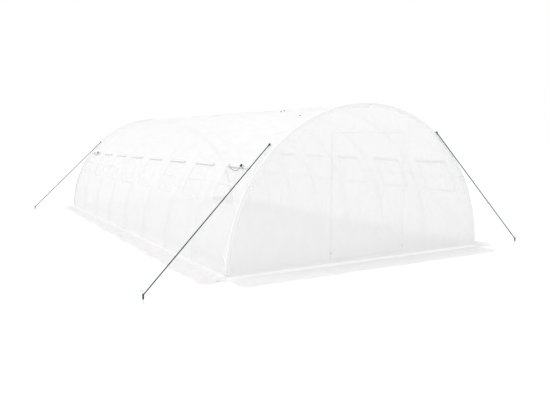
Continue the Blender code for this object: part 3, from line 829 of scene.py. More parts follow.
def brace_part(side, end):
    """A tube that flattens towards both ends: half its thickness and half its width go from the round radius
    to the tab's along a smooth step."""
    inside = HOOP_LINE - HOOP_TUBE / 2 - FIT_GAP - BRACE_FLAT - BRACE_DROP
    normals = [radial(side, d) for d in BRACE_DEG]
    ys = (end * (HOOP_Y[-1] - BRACE_IN), end * HOOP_Y[-2])
    tabs = [n * inside + np.array([0, y, 0]) for n, y in zip(normals, ys)]
    run = unit(tabs[1] - tabs[0])
    slopes = [unit(run - run @ n * n) for n in normals]
    corners = np.array([
        tabs[0] - slopes[0] * TAB_END, tabs[0] + slopes[0] * TAB_LENGTH,
        tabs[0] + slopes[0] * (TAB_LENGTH + FLARE), tabs[1] - slopes[1] * (TAB_LENGTH + FLARE),
        tabs[1] - slopes[1] * TAB_LENGTH, tabs[1] + slopes[1] * TAB_END,
    ])
    far = np.concatenate([[0], np.cumsum(np.linalg.norm(np.diff(corners, axis=0), axis=1))])
    runs = [np.linspace(a, b, n, endpoint=False) for a, b, n in zip(far, far[1:], BRACE_STEPS)]
    at = np.concatenate([*runs, far[-1:]])
    path = np.stack([np.interp(at, far, corners[:, k]) for k in range(3)], -1)
    roundness = smooth_step(np.interp(at, far[1:5], [0, 1, 1, 0]))
    share = smooth_step(at / far[-1])[:, None]
    hint = normals[0] * (1 - share) + normals[1] * share
    thick = BRACE_FLAT + (BRACE_ROUND - BRACE_FLAT) * roundness
    wide = BRACE_WIDE + (BRACE_ROUND - BRACE_WIDE) * roundness
    wide[[0, -1]] *= BRACE_TIP
    outline = circle(24)[None] * np.stack([wide, thick], -1)[:, None]
    heads = [turned(t - n * BRACE_HEAD_IN, -n, *BRACE_HEAD, 6) for t, n in zip(tabs, normals)]
    return carry(path, outline, hint), together(*heads)


for end_name, end in ENDS.items():
    for side_name, side in SIDES.items():
        brace, heads = brace_part(side, end)
        name = f"corner_brace_{end_name}_{side_name}"
        piece(f"steel_{name}", brace, COATED_STEEL, stands_for=[name])
        piece(f"brace_bolts_{end_name}_{side_name}", heads, BOLT_STEEL)
print("4 corner braces")

# %% [markdown]
# ## The film
#
# One function says how far the film is from the tunnel's axis at any place. All that lies on the cover asks
# it, such as hems, nets, rolls and ties, so that they lie on each other. The film touches the hoops and hangs
# in a little between them. Long creases run across it, and folds fan down from each hoop to the ground. Cloth
# simulation could hang the film as well, but a formula stays the same on every machine and keeps the sheet
# off the hoops.

# %% How far the film is from the axis
SAG = 0.018
RIDGE_DEPTH = 0.038
RIDGE_WIDTH = 0.060
RIDGE_POWER = 1.3
WINDOW_TAUT, WINDOW_MIDDLE_DEG, WINDOW_REACH_DEG = 0.55, 31.0, 9.0
FOOT_SAG, FOOT_SAG_DEG = 0.25, 14.0
CREASE_FADE = 0.09
CREASE_AT_HOOP = 0.35
LOOSE_CREASES = 190
FAN_SHARES, FAN_UP, FAN_WIDTH = (0.10, 0.22, 0.36), (0.34, 0.62), (0.016, 0.032)
FOLDS_UNDER_DEG, FOLDS_FADE_DEG, FOOT_HOLD_DEG = 30.0, 12.0, 4.0
CORNER_FOLD_Y, CORNER_FOLD_UP, CORNER_FOLD_LEAN = 3.86, 0.42, 0.30
CORNER_FOLD_SIZE = (0.95, 0.030, 0.010)
FOLD_HEIGHT = 0.05
WINDOW_LOW_DEG, WINDOW_TOP_DEG = 24.0, 37.2
WINDOW_WIDTH = 0.55
FOLD_TURN = math.asin(FOLD_HEIGHT / FILM_LINE)


def fold_lines(seed):
    """Each row is a crease: its middle along the tunnel and round the arch, its lean from the tunnel's
    direction, its length, its width and its height, all in metres and radians."""
    pick = np.random.default_rng(seed)
    many = LOOSE_CREASES
    loose = np.stack([
        pick.uniform(-4, 4, many), pick.uniform(0.25, math.pi * FILM_LINE - 0.25, many),
        pick.normal(0, 0.35, many) + (pick.random(many) < 0.35) * math.pi / 2,
        pick.uniform(0.25, 0.95, many), pick.uniform(0.014, 0.034, many), pick.normal(0, 0.0032, many),
    ], -1)
    fans = []
    for y in HOOP_Y:
        for foot in (0, math.pi * FILM_LINE):
            for way in (-1, 1):
                share = np.array(FAN_SHARES) + pick.uniform(-0.03, 0.03, 3)
                up = pick.uniform(*FAN_UP, 3)
                lean = math.pi / 2 - way * (1 if foot == 0 else -1) * (0.10 + share * 0.45)
                reach, width = up * 2.1, pick.uniform(*FAN_WIDTH, 3)
                height = np.array([-1, 1, -1]) * pick.uniform(0.002, 0.0065, 3)
                around = abs(foot - up)
                fans.append(np.stack([y + way * share * BAY, around, lean, reach, width, height], -1))
    corners = [
        [
            end * CORNER_FOLD_Y, abs(foot - CORNER_FOLD_UP),
            math.pi / 2 + end * (1 if foot else -1) * CORNER_FOLD_LEAN, *CORNER_FOLD_SIZE,
        ]
        for end in (-1, 1) for foot in (0, math.pi * FILM_LINE)
    ]
    return np.vstack([loose, *fans, corners])


FOLDS = fold_lines(17)


def creases(y, around, lines):
    """The sum of the creases: height times exp(-(v / width) squared) times (1 - (2u / length) squared)
    squared, where u runs along a crease and v is the distance from it."""
    total = np.zeros(np.shape(y))
    for middle_y, middle_s, lean, length, width, height in lines:
        u = (y - middle_y) * math.cos(lean) + (around - middle_s) * math.sin(lean)
        v = (around - middle_s) * math.cos(lean) - (y - middle_y) * math.sin(lean)
        along = np.clip(1 - (2 * u / length) ** 2, 0, 1) ** 2
        total += height * np.exp(-(v / width) ** 2) * along
    return total


def film_point(y, turn, lift=0.0):
    """A point on the film: the axis distance times cos and sin of the turn, which runs from the right ground
    over the ridge. The distance is the film's line, less the sag 4 t (1 - t) between two hoops, which is
    smaller at the windows and at the ground, plus the creases. Below the windows it also falls off beside
    each hoop, by the ridge depth times 1 - exp(-d). No crease presses the film into a hoop."""
    y, turn = np.broadcast_arrays(np.asarray(y, float), np.asarray(turn, float))
    t = np.clip((y - HOOP_Y[0]) / BAY, 0, BAYS) % 1
    from_ground = np.degrees(np.minimum(turn, math.pi - turn))
    weak = 1 - WINDOW_TAUT * np.exp(-(((from_ground - WINDOW_MIDDLE_DEG) / WINDOW_REACH_DEG) ** 2))
    deep = SAG * weak * (FOOT_SAG + (1 - FOOT_SAG) * smooth_step(from_ground / FOOT_SAG_DEG))
    hang = deep * 4 * t * (1 - t)
    taut = smooth_step((FOLDS_UNDER_DEG - from_ground) / FOLDS_FADE_DEG)
    taut = taut * smooth_step(from_ground / FOOT_HOLD_DEG)
    past_hoop = np.minimum(t, 1 - t) * BAY / RIDGE_WIDTH
    hang = hang + RIDGE_DEPTH * taut * (1 - np.exp(-past_hoop ** RIDGE_POWER))
    rise = creases(y, FILM_LINE * turn, FOLDS)
    from_hoop = np.abs(y[..., None] - HOOP_Y).min(-1)
    clear = smooth_step(from_hoop / CREASE_FADE)
    rise = np.where(rise < 0, rise * clear, rise * (CREASE_AT_HOOP + (1 - CREASE_AT_HOOP) * clear))
    radius = FILM_LINE - hang + rise + lift
    return np.stack([radius * np.cos(turn), y, radius * np.sin(turn)], -1)


def turn_at(side, degrees):
    """A side's angle above the ground, as the turn that starts at the right ground."""
    return np.radians(degrees) if side > 0 else math.pi - np.radians(degrees)


def stops_and_steps(stops, step):
    """Every stop, and even steps between each stop and the next."""
    runs = [np.linspace(a, b, max(2, math.ceil((b - a) / step) + 1))[:-1] for a, b in zip(stops, stops[1:])]
    return np.concatenate([*runs, stops[-1:]])


# %% [markdown]
# The cover is one sheet over all nine hoops, with a window on each side of each bay. Its grid has lines along
# every edge of the windows, so that an opening is made by leaving out cells. Cutting the windows out with a
# Boolean would leave long thin faces, which show in the creases.

# %% The cover, with its sixteen window openings
CELL = 0.0245
WINDOW_Y = HOOP_Y[:-1] + BAY / 2
window_edges = np.sort(np.concatenate([WINDOW_Y - WINDOW_WIDTH / 2, WINDOW_Y + WINDOW_WIDTH / 2]))
y_stops = np.sort(np.concatenate([[-COVER_END], window_edges, HOOP_Y[1:-1], [COVER_END]]))
y_lines = stops_and_steps(y_stops, CELL)
low, top = math.radians(WINDOW_LOW_DEG), math.radians(WINDOW_TOP_DEG)
turn_stops = np.array([FOLD_TURN, low, top, math.pi - top, math.pi - low, math.pi - FOLD_TURN])
turn_lines = stops_and_steps(turn_stops, CELL / FILM_LINE)
cell_y = (y_lines[1:] + y_lines[:-1]) / 2
cell_turn = (turn_lines[1:] + turn_lines[:-1]) / 2
in_window_y = (np.abs(cell_y[:, None] - WINDOW_Y) < WINDOW_WIDTH / 2).any(-1)
from_ground = np.minimum(cell_turn, math.pi - cell_turn)
in_window_turn = (from_ground > low) & (from_ground < top)
cover_cells = ~(in_window_turn[:, None] & in_window_y[None])
cover = piece(
    "cover_sheet", sheet_part(film_point(y_lines[None], turn_lines[:, None]), cover_cells), COVER_FILM,
    stands_for=["cover"], edge_deg=180,
)
arch = math.pi * FILM_LINE
openings = 2 * BAYS * WINDOW_WIDTH * FILM_LINE * (top - low)
arch * 2 * COVER_END - openings
print(f"cover: {len(cover.data.polygons)} faces, {len(turn_lines)} by {len(y_lines)} lines")

# %% [markdown]
# ## Skirts
#
# The film doesn't stop at the ground: it turns outwards and lies there as a skirt, to be dug in or weighed
# down. A skirt is a strip whose profile is a quarter of an ellipse and then a flat run. Loose film crumples,
# so waves with sharp tops in scattered directions lift it. A noise texture could displace it too, but its
# bumps are round, and crumpled film has ridges.

# %% A skirt's profile and its crumples
SKIRT_FLOOR = 0.0012
CRUMPLE_WAVES = 7
BEND_ROWS = 9


def crumple(first, second, seed, pitch):
    """Soft folds between 0 and 1: the mean of waves 1 - |sin| in scattered directions, to the third power."""
    pick = np.random.default_rng(seed)
    total = np.zeros(np.broadcast(first, second).shape)
    turns = pick.uniform(0, math.pi, CRUMPLE_WAVES)
    phases = pick.uniform(0, 9, CRUMPLE_WAVES)
    stretches = pick.uniform(0.6, 1.7, CRUMPLE_WAVES)
    for turn, phase, stretch in zip(turns, phases, stretches):
        wave = (first * math.cos(turn) + second * math.sin(turn)) * math.pi / (pitch * stretch) + phase
        total += 1 - np.abs(np.sin(wave))
    return (total / CRUMPLE_WAVES) ** 3


def skirt_profile(width, columns, flat_rows):
    """How far out and how high each row is: a quarter ellipse down to the ground, and then even steps."""
    bend = np.linspace(0, math.pi / 2, BEND_ROWS)
    out = np.concatenate([SKIRT_BEND * (1 - np.cos(bend)), np.zeros(flat_rows)])[:, None]
    above = (FOLD_HEIGHT - SKIRT_FLOOR) * (1 - np.sin(bend))
    high = np.concatenate([SKIRT_FLOOR + above, np.full(flat_rows, SKIRT_FLOOR)])[:, None]
    share = np.concatenate([np.zeros(BEND_ROWS), np.linspace(0, 1, flat_rows + 1)[1:]])[:, None]
    out = out + np.where(share > 0, SKIRT_BEND, 0) + share * (width - SKIRT_BEND)
    return out, np.broadcast_to(high, (len(high), columns)), np.broadcast_to(share, out.shape)


def skirt_rise(along, out, share, seed, height, pitch):
    """The crumples' height: nothing at the fold, and most three quarters of the way out."""
    grows = smooth_step(share / 0.35) * (1 - 0.45 * smooth_step((share - 0.75) / 0.25))
    patches = 0.35 + 0.65 * crumple(along * 0.35, out * 0.2, seed + 50, pitch) / 0.5
    return height * grows * patches * crumple(along, out, seed, pitch) * 2.2


def corner_share(along, half_length, corner=0.20, least=0.35):
    """How much of its width a skirt keeps near its ends: its corners are quarters of an ellipse."""
    rounding = np.clip(1 - (half_length - np.abs(along)) / corner, 0, 1)
    return least + (1 - least) * np.sqrt(1 - rounding ** 2)


# %% Side skirts
SIDE_SKIRT = 0.29
SIDE_SKIRT_SPREAD = 0.06
SIDE_SKIRT_PAST_END = 0.16
END_SKIRT = {"front": 0.43, "rear": 0.385}
SKIRT_PAST_COVER, SKIRT_BACK = 0.0015, 0.012
SIDE_COLUMNS, SIDE_ROWS = 430, 14
SIDE_CRUMPLES = (0.060, 0.15)
FOLD_BLEND = 0.02
for side_name, side in SIDES.items():
    share_y = np.linspace(-1, 1, SIDE_COLUMNS)
    wander = 0.016 * np.cos(share_y * 23 + side) + 0.009 * np.sin(share_y * 61 + 2 * side)
    width = (SIDE_SKIRT - SIDE_SKIRT_SPREAD * share_y + wander) * corner_share(share_y * COVER_END, COVER_END)
    out, high, share = skirt_profile(width, SIDE_COLUMNS, SIDE_ROWS)
    half = COVER_END + SKIRT_PAST_COVER + (SIDE_SKIRT_PAST_END - SKIRT_BACK) * smooth_step(out / SIDE_SKIRT)
    y = share_y * half
    high = high + skirt_rise(y, out, share, 3 if side < 0 else 4, *SIDE_CRUMPLES)
    fold = film_point(share_y * COVER_END, turn_at(side, math.degrees(FOLD_TURN)))
    meets = 1 - smooth_step(out / FOLD_BLEND)
    x = np.abs(fold[:, 0]) * meets + (FILM_LINE * math.cos(FOLD_TURN)) * (1 - meets) + out
    points = np.stack([side * x, y, high], -1)
    points[0] = fold
    skirt = piece(
        f"skirt_sheet_{side_name}", sheet_part(points, flip=side > 0), SIDE_SKIRT_FILM,
        stands_for=[f"skirt_{side_name}"], edge_deg=180,
    )
print("2 side skirts")

# %% [markdown]
# ## Gables
#
# A gable is half a disc of clearer film. Its grid follows the shape: the columns are at R cos of even angles,
# so that they crowd towards the rim, and the rows split at the doorway's sill and head, so that the opening
# has straight edges. It bellies out and in a little, but not at its rim or round the doorway. A square grid
# that is cut to the arch would have a stepped or a ragged rim, where this one ends on the film's own line.

# %% The gable's grid
DOOR_HALF = 0.55
DOOR_LAP = 0.02
DOOR_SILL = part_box("door_front")[0].z + DOOR_LAP
DOOR_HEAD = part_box("door_front")[1].z - DOOR_LAP
BILLOW = 0.010
ROW = 0.023
LOW_ROWS, HIGH_ROWS = 2, 18
RIM_FADE, DOOR_FADE, FOOT_FADE = 0.22, 0.16, 0.25
DOOR_STILL, FOOT_STILL = 0.05, 0.06
GABLE_CREASES = 46


def gable_grid(end):
    """A gable's points, and which of its cells are film. Rows go by even shares of the way from the foot to
    the sill, on to the head and on to the rim. The depth is the gable's place plus a belly of two waves and
    its creases, both times a share that is nothing at the rim, the doorway and the foot."""
    door_turn = math.acos(DOOR_HALF / FILM_LINE)
    stops = np.array([FOLD_TURN, door_turn, math.pi - door_turn, math.pi - FOLD_TURN])
    turn = stops_and_steps(stops, ROW / FILM_LINE)
    x = FILM_LINE * np.cos(turn)
    rim = FILM_LINE * np.sin(turn) - FOLD_HEIGHT
    at_door = math.sqrt(FILM_LINE ** 2 - DOOR_HALF ** 2) - FOLD_HEIGHT
    inside = np.abs(x) <= DOOR_HALF + 1e-6
    sill = np.where(inside, DOOR_SILL - FOLD_HEIGHT, rim / at_door * (DOOR_SILL - FOLD_HEIGHT))
    head = np.where(inside, DOOR_HEAD - FOLD_HEIGHT, rim / at_door * (DOOR_HEAD - FOLD_HEIGHT))
    low_rows = np.linspace(0, 1, LOW_ROWS + 1)[:-1, None] * sill
    many = round((DOOR_HEAD - DOOR_SILL) / ROW)
    door_rows = sill + np.linspace(0, 1, many + 1)[:-1, None] * (head - sill)
    high_rows = head + np.linspace(0, 1, HIGH_ROWS)[:, None] * (rim - head)
    z = FOLD_HEIGHT + np.vstack([low_rows, door_rows, high_rows])
    x = np.broadcast_to(x, z.shape)
    cells_x = (np.abs((x[0, 1:] + x[0, :-1]) / 2) < DOOR_HALF)[None]
    row_number = np.arange(len(z) - 1)[:, None]
    in_door = cells_x & (row_number >= LOW_ROWS) & (row_number < LOW_ROWS + many)
    from_rim = FILM_LINE - np.hypot(x, z)
    aside = np.maximum(np.abs(x) - DOOR_HALF - DOOR_STILL, 0)
    above = np.maximum(z - DOOR_HEAD - DOOR_STILL, 0)
    from_foot = smooth_step((z - FOOT_STILL) / FOOT_FADE)
    free = smooth_step(from_rim / RIM_FADE) * smooth_step(np.hypot(aside, above) / DOOR_FADE) * from_foot
    belly = np.sin(x * 2.3 + 0.7 * end) * np.cos(z * 2.9 + 0.4) + 0.55 * np.sin(x * 5.1 - z * 3.7 + end)
    pick = np.random.default_rng(31 + end)
    many = GABLE_CREASES
    lines = np.stack([
        pick.uniform(-1.9, 1.9, many), pick.uniform(0.1, 1.8, many), pick.uniform(0.9, 2.3, many),
        pick.uniform(0.3, 0.9, many), pick.uniform(0.014, 0.03, many), pick.normal(0, 0.0030, many),
    ], -1)
    y = GABLE_Y + free * (BILLOW * 0.5 * belly + creases(x, z, lines))
    return np.stack([x, end * y, z], -1), ~in_door


# %% Gables, end skirts and the seams over their rims
END_COLUMNS, END_ROWS = 190, 18
END_CRUMPLES = (0.018, 0.27)
SEAM_COLUMNS = 261
SEAM_OVER_RIM = (
    (-0.022, 0.0012), (-0.011, 0.0018), (0.0, 0.0018), (0.0022, 0.0006), (0.0030, -0.004),
    (0.0026, -0.018), (0.0018, -0.041),
)
for end_name, end in ENDS.items():
    points, cells = gable_grid(end)
    gable = piece(
        f"gable_sheet_{end_name}", sheet_part(points, cells, flip=end < 0), GABLE_FILM,
        stands_for=[f"gable_{end_name}"], weld=True, edge_deg=180,
    )
    share_x = np.linspace(-1, 1, END_COLUMNS)
    along = share_x * FILM_LINE * math.cos(FOLD_TURN)
    wander = 0.010 * np.cos(share_x * 11 + end) + 0.005 * np.sin(share_x * 31)
    width = (END_SKIRT[end_name] + wander) * corner_share(along, FILM_LINE, corner=0.08, least=0.70)
    out, high, share = skirt_profile(width, END_COLUMNS, END_ROWS)
    high = high + skirt_rise(along, out, share, 8 + end, *END_CRUMPLES)
    x = along * (1 + 0.006 * smooth_step(out / END_SKIRT[end_name]))
    points = np.stack([x + 0 * out, end * (GABLE_Y + out), high], -1)
    skirt = piece(
        f"skirt_sheet_{end_name}", sheet_part(points, flip=end < 0), END_SKIRT_FILM,
        stands_for=[f"skirt_{end_name}"], edge_deg=180,
    )
    turn = np.linspace(FOLD_TURN, math.pi - FOLD_TURN, SEAM_COLUMNS)
    rows = [film_point(end * COVER_END, turn, lift) + [0, end * y, 0] for y, lift in SEAM_OVER_RIM]
    seam = sheet_part(np.stack(rows), flip=end < 0)
    piece(f"gable_seam_{end_name}", seam, SEAM_FILM, edge_deg=60)
print("2 gables with their skirts and sewn seams")

# %% [markdown]
# A side skirt and an end skirt leave a corner open between them, where the real film is gathered. A gusset
# closes it here: the skirt's own profile, turned a quarter round the corner, so that it meets both.

# %% Skirt corners
GUSSET = 0.11
GUSSET_RISE = 0.001
GUSSET_COLUMNS, GUSSET_ROWS = 15, 6
for end_name, end in ENDS.items():
    for side_name, side in SIDES.items():
        turn = np.linspace(0, math.pi / 2, GUSSET_COLUMNS)
        out, high, share = skirt_profile(np.full(GUSSET_COLUMNS, GUSSET), GUSSET_COLUMNS, GUSSET_ROWS)
        corner_x, corner_y = FILM_LINE * math.cos(FOLD_TURN), GABLE_Y
        points = np.stack([
            side * (corner_x + out * np.cos(turn)), end * (corner_y + out * np.sin(turn)),
            high + GUSSET_RISE * share,
        ], -1)
        gusset = sheet_part(points, flip=side * end > 0)
        piece(
            f"skirt_gusset_{end_name}_{side_name}", gusset, SIDE_SKIRT_FILM, weld=True,
            edge_deg=180,
        )
print("4 skirt corners")

# %% [markdown]
# ## Guy ropes
#
# Each rope is knotted to a ring on the film near an end hoop, and runs straight and taut to its peg. The
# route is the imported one. The braid is real: the tube's radius rises where one of two opposite helices of
# strands is on top. Strands that are woven one by one would take ten times the faces, and look the same.

# %% The ropes' routes
ROPE = 0.012
ROPE_KNOT_DEG = {"front_left": 48.0, "front_right": 55.0, "rear_left": 46.7, "rear_right": 46.2}
ROPE_KNOT_IN = {"front_left": 0.17, "rear_left": 0.10, "rear_right": 0.10}
ROPE_ON_PEG = 0.10
ROPE_STEP = 0.0025
BRAID_STRANDS, BRAID_DEPTH = 4, 0.16
TOUCH = 0.0003
PEG_ROD = 0.008
PEG_HEIGHT = 0.15


def peg_place(corner, side):
    """Where the rod stands: half a rod in from its box's inner edge, and at the middle of its box along Y."""
    low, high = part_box(f"peg_{corner}")
    inner = low.x if side > 0 else high.x
    return np.array([inner + side * PEG_ROD / 2, (low.y + high.y) / 2, 0])


def rope_route(corner, side, end):
    """Even steps along a straight line from the knot to the peg. The line starts half a rope above the film,
    or in front of the gable's rim, and it stops where its end would touch the rod."""
    gable = [abs(edge.y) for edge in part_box("gable_front")]
    away, y = FILM_TOP, max(gable) + TOUCH + ROPE / 2
    if corner in ROPE_KNOT_IN:
        away, y = FILM_TOP + TOUCH + ROPE / 2, COVER_END - ROPE_KNOT_IN[corner]
    start = radial(side, ROPE_KNOT_DEG[corner]) * away + np.array([0, end * y, 0])
    stop = peg_place(corner, side) + np.array([0, 0, ROPE_ON_PEG])
    run = stop - start
    slope = abs(run[2]) / np.linalg.norm(run)
    level = np.array([run[0], run[1], 0])
    stop -= unit(level) * (PEG_ROD / 2 + TOUCH + ROPE / 2 * slope)
    length = np.linalg.norm(stop - start)
    return start + (stop - start) * np.linspace(0, 1, int(length / ROPE_STEP))[:, None], length


def braid(path, hint, radius, pitch=0.030, sides=24):
    """A braided tube: its radius is the full one where the greater of two opposite helices of strands
    is on top, and less by the depth's share between them."""
    far = np.concatenate([[0], np.cumsum(np.linalg.norm(np.diff(path, axis=0), axis=1))])[:, None]
    turn = (np.arange(sides) + 0.5) * 2 * math.pi / sides
    one = np.abs(np.sin(BRAID_STRANDS / 2 * (turn + 2 * math.pi * far / pitch)))
    two = np.abs(np.sin(BRAID_STRANDS / 2 * (turn - 2 * math.pi * far / pitch)))
    swell = radius * (1 - BRAID_DEPTH + BRAID_DEPTH * np.maximum(one, two))
    return carry(path, swell[..., None] * circle(sides), hint)


# %% [markdown]
# A peg is a pointed wire that is bent over into a hook. It is drawn as it is made: a circle goes up a line
# and round half a turn. The rope ends in turns round the rod, of a thinner line of the same green.

# %% Pegs, and the turns that hold a rope on its peg
PEG_HOOK = 0.014
PEG_RISE = (0, 0.006, 0.014, 0.02, 0.05, 0.08, 0.11)
PEG_POINT = (0.15, 0.5, 0.85, 1.0)
PEG_TIP = ([0, 0.0015, 0.003], [0.004, 0.0034, 0.0016])
WHIPPING = 0.0056
WHIPPING_TURNS = 9


def peg_part(place, side):
    """A wire that stands on its point and bends over into a hook, away from the tunnel."""
    turn = np.radians(np.linspace(180, -20, 20))
    across = np.concatenate([np.zeros(len(PEG_RISE)), PEG_HOOK * (1 + np.cos(turn))])
    bend = PEG_HEIGHT - PEG_ROD / 2 - PEG_HOOK + PEG_HOOK * np.sin(turn)
    rise = np.concatenate([PEG_RISE, bend])
    radii = np.full(len(across), PEG_ROD / 2)
    radii[:len(PEG_POINT)] *= PEG_POINT
    path = place + np.stack([side * across, np.zeros_like(across), rise], -1)
    wire = tube(path, radii, (0, 1, 0), 16)
    tip = turned(path[-1], unit(path[-1] - path[-2]), *PEG_TIP, 16)
    return together(wire, tip)


def whipping_part(place):
    """Thinner line of the same green, wound down round the rod: a helix, whose angle and depth grow
    together."""
    turns = np.linspace(0, WHIPPING_TURNS * 2 * math.pi, 26 * WHIPPING_TURNS)
    radius = (PEG_ROD + WHIPPING) / 2
    depth = ROPE_ON_PEG + ROPE / 2 - turns / (2 * math.pi) * WHIPPING
    path = place + np.stack([-radius * np.cos(turns), radius * np.sin(turns), depth], -1)
    return braid(path, (0, 0, 1), WHIPPING / 2, sides=12, pitch=0.012)


# %% [markdown]
# A knot follows a trefoil curve, so that it goes over and under itself as cord does. A lump would do from
# afar, but not close up. The ring that it is tied to hangs on a tab of webbing. The tab is sewn to the film
# or, at the front right corner, goes over the gable's rim.

# %% Knots, rings and tabs
TAB = (0.0016, 0.035)
TAB_STEPS = (0, 0.7, 0.85, 1)
TAB_BACK = (-0.10, -0.008, 0.0015, 0.002)
TAB_RISE = (0.0035, 0.0035, -0.002, -0.030)
TAB_REACH_DEG = 2.4
TAB_LIFT = 0.002
RING = 0.011
RING_WIRE = 0.0022
KNOT_SIZE = 0.0050
KNOT_CORD = ROPE * 0.34
KNOT_STEPS = 150


def knot_part(centre, out, up, size, radius):
    """A trefoil knot: x = sin t + 2 sin 2t, y = cos t - 2 cos 2t, z = -sin 3t, laid flat on the film."""
    t = np.linspace(0, 2 * math.pi, KNOT_STEPS, endpoint=False)
    flat = np.stack([np.sin(t) + 2 * np.sin(2 * t), np.cos(t) - 2 * np.cos(2 * t), -np.sin(3 * t)], -1)
    along = np.cross(out, up)
    path = centre + size * (flat[:, :1] * up + flat[:, 1:2] * along + 0.8 * flat[:, 2:] * out)
    return tube(path, radius, out + 0.01 * up, 12, closed=True)


def tab_part(corner, side, end, start):
    """A strip of webbing for the rope's ring: a thin outline carried up the film, or along it and over the
    gable's rim, where the way that it faces turns from outwards to the front."""
    degrees, steps = ROPE_KNOT_DEG[corner], np.linspace(0, 1, 14)
    out, ahead = radial(side, degrees), np.array([0, float(end), 0])
    if corner in ROPE_KNOT_IN:
        path = film_point(start[1], turn_at(side, degrees - 0.3 + TAB_REACH_DEG * steps), TAB_LIFT)
        faces = out
    else:
        back = np.interp(steps, TAB_STEPS, TAB_BACK) + COVER_END
        rise = np.interp(steps, TAB_STEPS, TAB_RISE)
        forward = back + 0.004 * smooth_step((steps - 0.7) / 0.2)
        path = out * (FILM_LINE + rise)[:, None] + ahead * forward[:, None]
        turned_over = smooth_step((steps - 0.66) / 0.22)[:, None]
        faces = out * (1 - turned_over) + ahead * turned_over
    thick, wide = np.array(TAB) / 2
    outline = np.array([[-wide, -thick], [wide, -thick], [wide, thick], [-wide, thick]])
    strip = carry(path, outline, faces)
    way = unit(start - path[0]) if corner in ROPE_KNOT_IN else -out
    ring = start + RING * oval(way, tangent(side, degrees), 40)
    return strip, tube(ring - RING * 0.7 * way, RING_WIRE, ahead, 10, closed=True)


# %% The four ropes
for end_name, end in ENDS.items():
    for side_name, side in SIDES.items():
        corner = f"{end_name}_{side_name}"
        route, length = rope_route(corner, side, end)
        rope = piece(
            f"rope_{corner}", braid(route, (0, 0, 1), ROPE / 2), GREEN_BRAID,
            stands_for=[f"guy_rope_{corner}"],
        )
        place = peg_place(corner, side)
        peg = piece(
            f"wire_peg_{corner}", peg_part(place, side), PEG_STEEL, stands_for=[f"peg_{corner}"]
        )
        hitch = piece(f"rope_hitch_{corner}", whipping_part(place), GREEN_BRAID)
        out, up = radial(side, ROPE_KNOT_DEG[corner]), tangent(side, ROPE_KNOT_DEG[corner])
        knot = knot_part(route[0], out, up, KNOT_SIZE, KNOT_CORD)
        knot = piece(f"rope_knot_{corner}", knot, GREEN_BRAID)
        strip, ring = tab_part(corner, side, end, route[0])
        piece(f"rope_tab_{corner}", strip, WHITE_WEBBING)
        piece(f"rope_eyelet_{corner}", ring, BOLT_STEEL)
        tuple(route[0])
        route[::8].tolist() + [route[-1].tolist()]
        print(f"rope {corner}: {length:.3f} m")

# %% [markdown]
# ## Doors and zips
#
# A door is a sheet that hangs from its top seam in front of the doorway, with a stiff hem along its foot. A
# zip runs up each side of it on a raised tape. The tape is a ring of two rectangles: a point goes from the
# inner one to the outer one with one parameter, and round with the other. A flat frame with a Solidify
# modifier could stand for it, but its edges would stand up, where a sewn tape dies away into the film.

# %% A door's film, and a ring of two rectangles
DOOR_OUT, DOOR_UNDER = 0.0014, 0.012
TOP_SEAM_UP = 0.006
DOOR_GRID = (66, 78)
DOOR_SIDE_FADE, DOOR_TOP_FADE = 0.12, 0.5


def rectangle_ring(low, high, inner, outer, across, steps):
    """Points of a ring between two rectangles, which lie inner and outer beyond the corners given: the first
    axis runs from one to the other, and the second round the four sides."""
    low, high = np.asarray(low, float), np.asarray(high, float)
    rings = []
    for share in np.linspace(0, 1, across):
        grow = np.asarray(inner) * (1 - share) + np.asarray(outer) * share
        a, b = low - grow, high + grow
        corners = np.array([[a[0], a[1]], [b[0], a[1]], [b[0], b[1]], [a[0], b[1]], [a[0], a[1]]])
        sides = [np.linspace(p, q, steps, endpoint=False) for p, q in zip(corners, corners[1:])]
        rings.append(np.vstack(sides))
    return np.array(rings)


def door_part(end, y):
    """The door's film: flat but for long upright folds, which fade towards its sides and its top seam."""
    half = extent(f"door_{'front' if end < 0 else 'rear'}").x / 2
    foot, head = DOOR_SILL - DOOR_UNDER, DOOR_HEAD + TOP_SEAM_UP
    x, z = np.meshgrid(np.linspace(-half, half, DOOR_GRID[0]), np.linspace(foot, head, DOOR_GRID[1]))
    free = smooth_step((half - np.abs(x)) / DOOR_SIDE_FADE) * smooth_step((head - z) / DOOR_TOP_FADE)
    folds = 0.0016 * np.sin(x * 21 + 0.8 * np.sin(z * 2.0)) + 0.0012 * np.sin(x * 9.0 + z * 1.3 + end)
    return np.stack([x, end * (y + free * (0.0026 + folds)), z], -1)


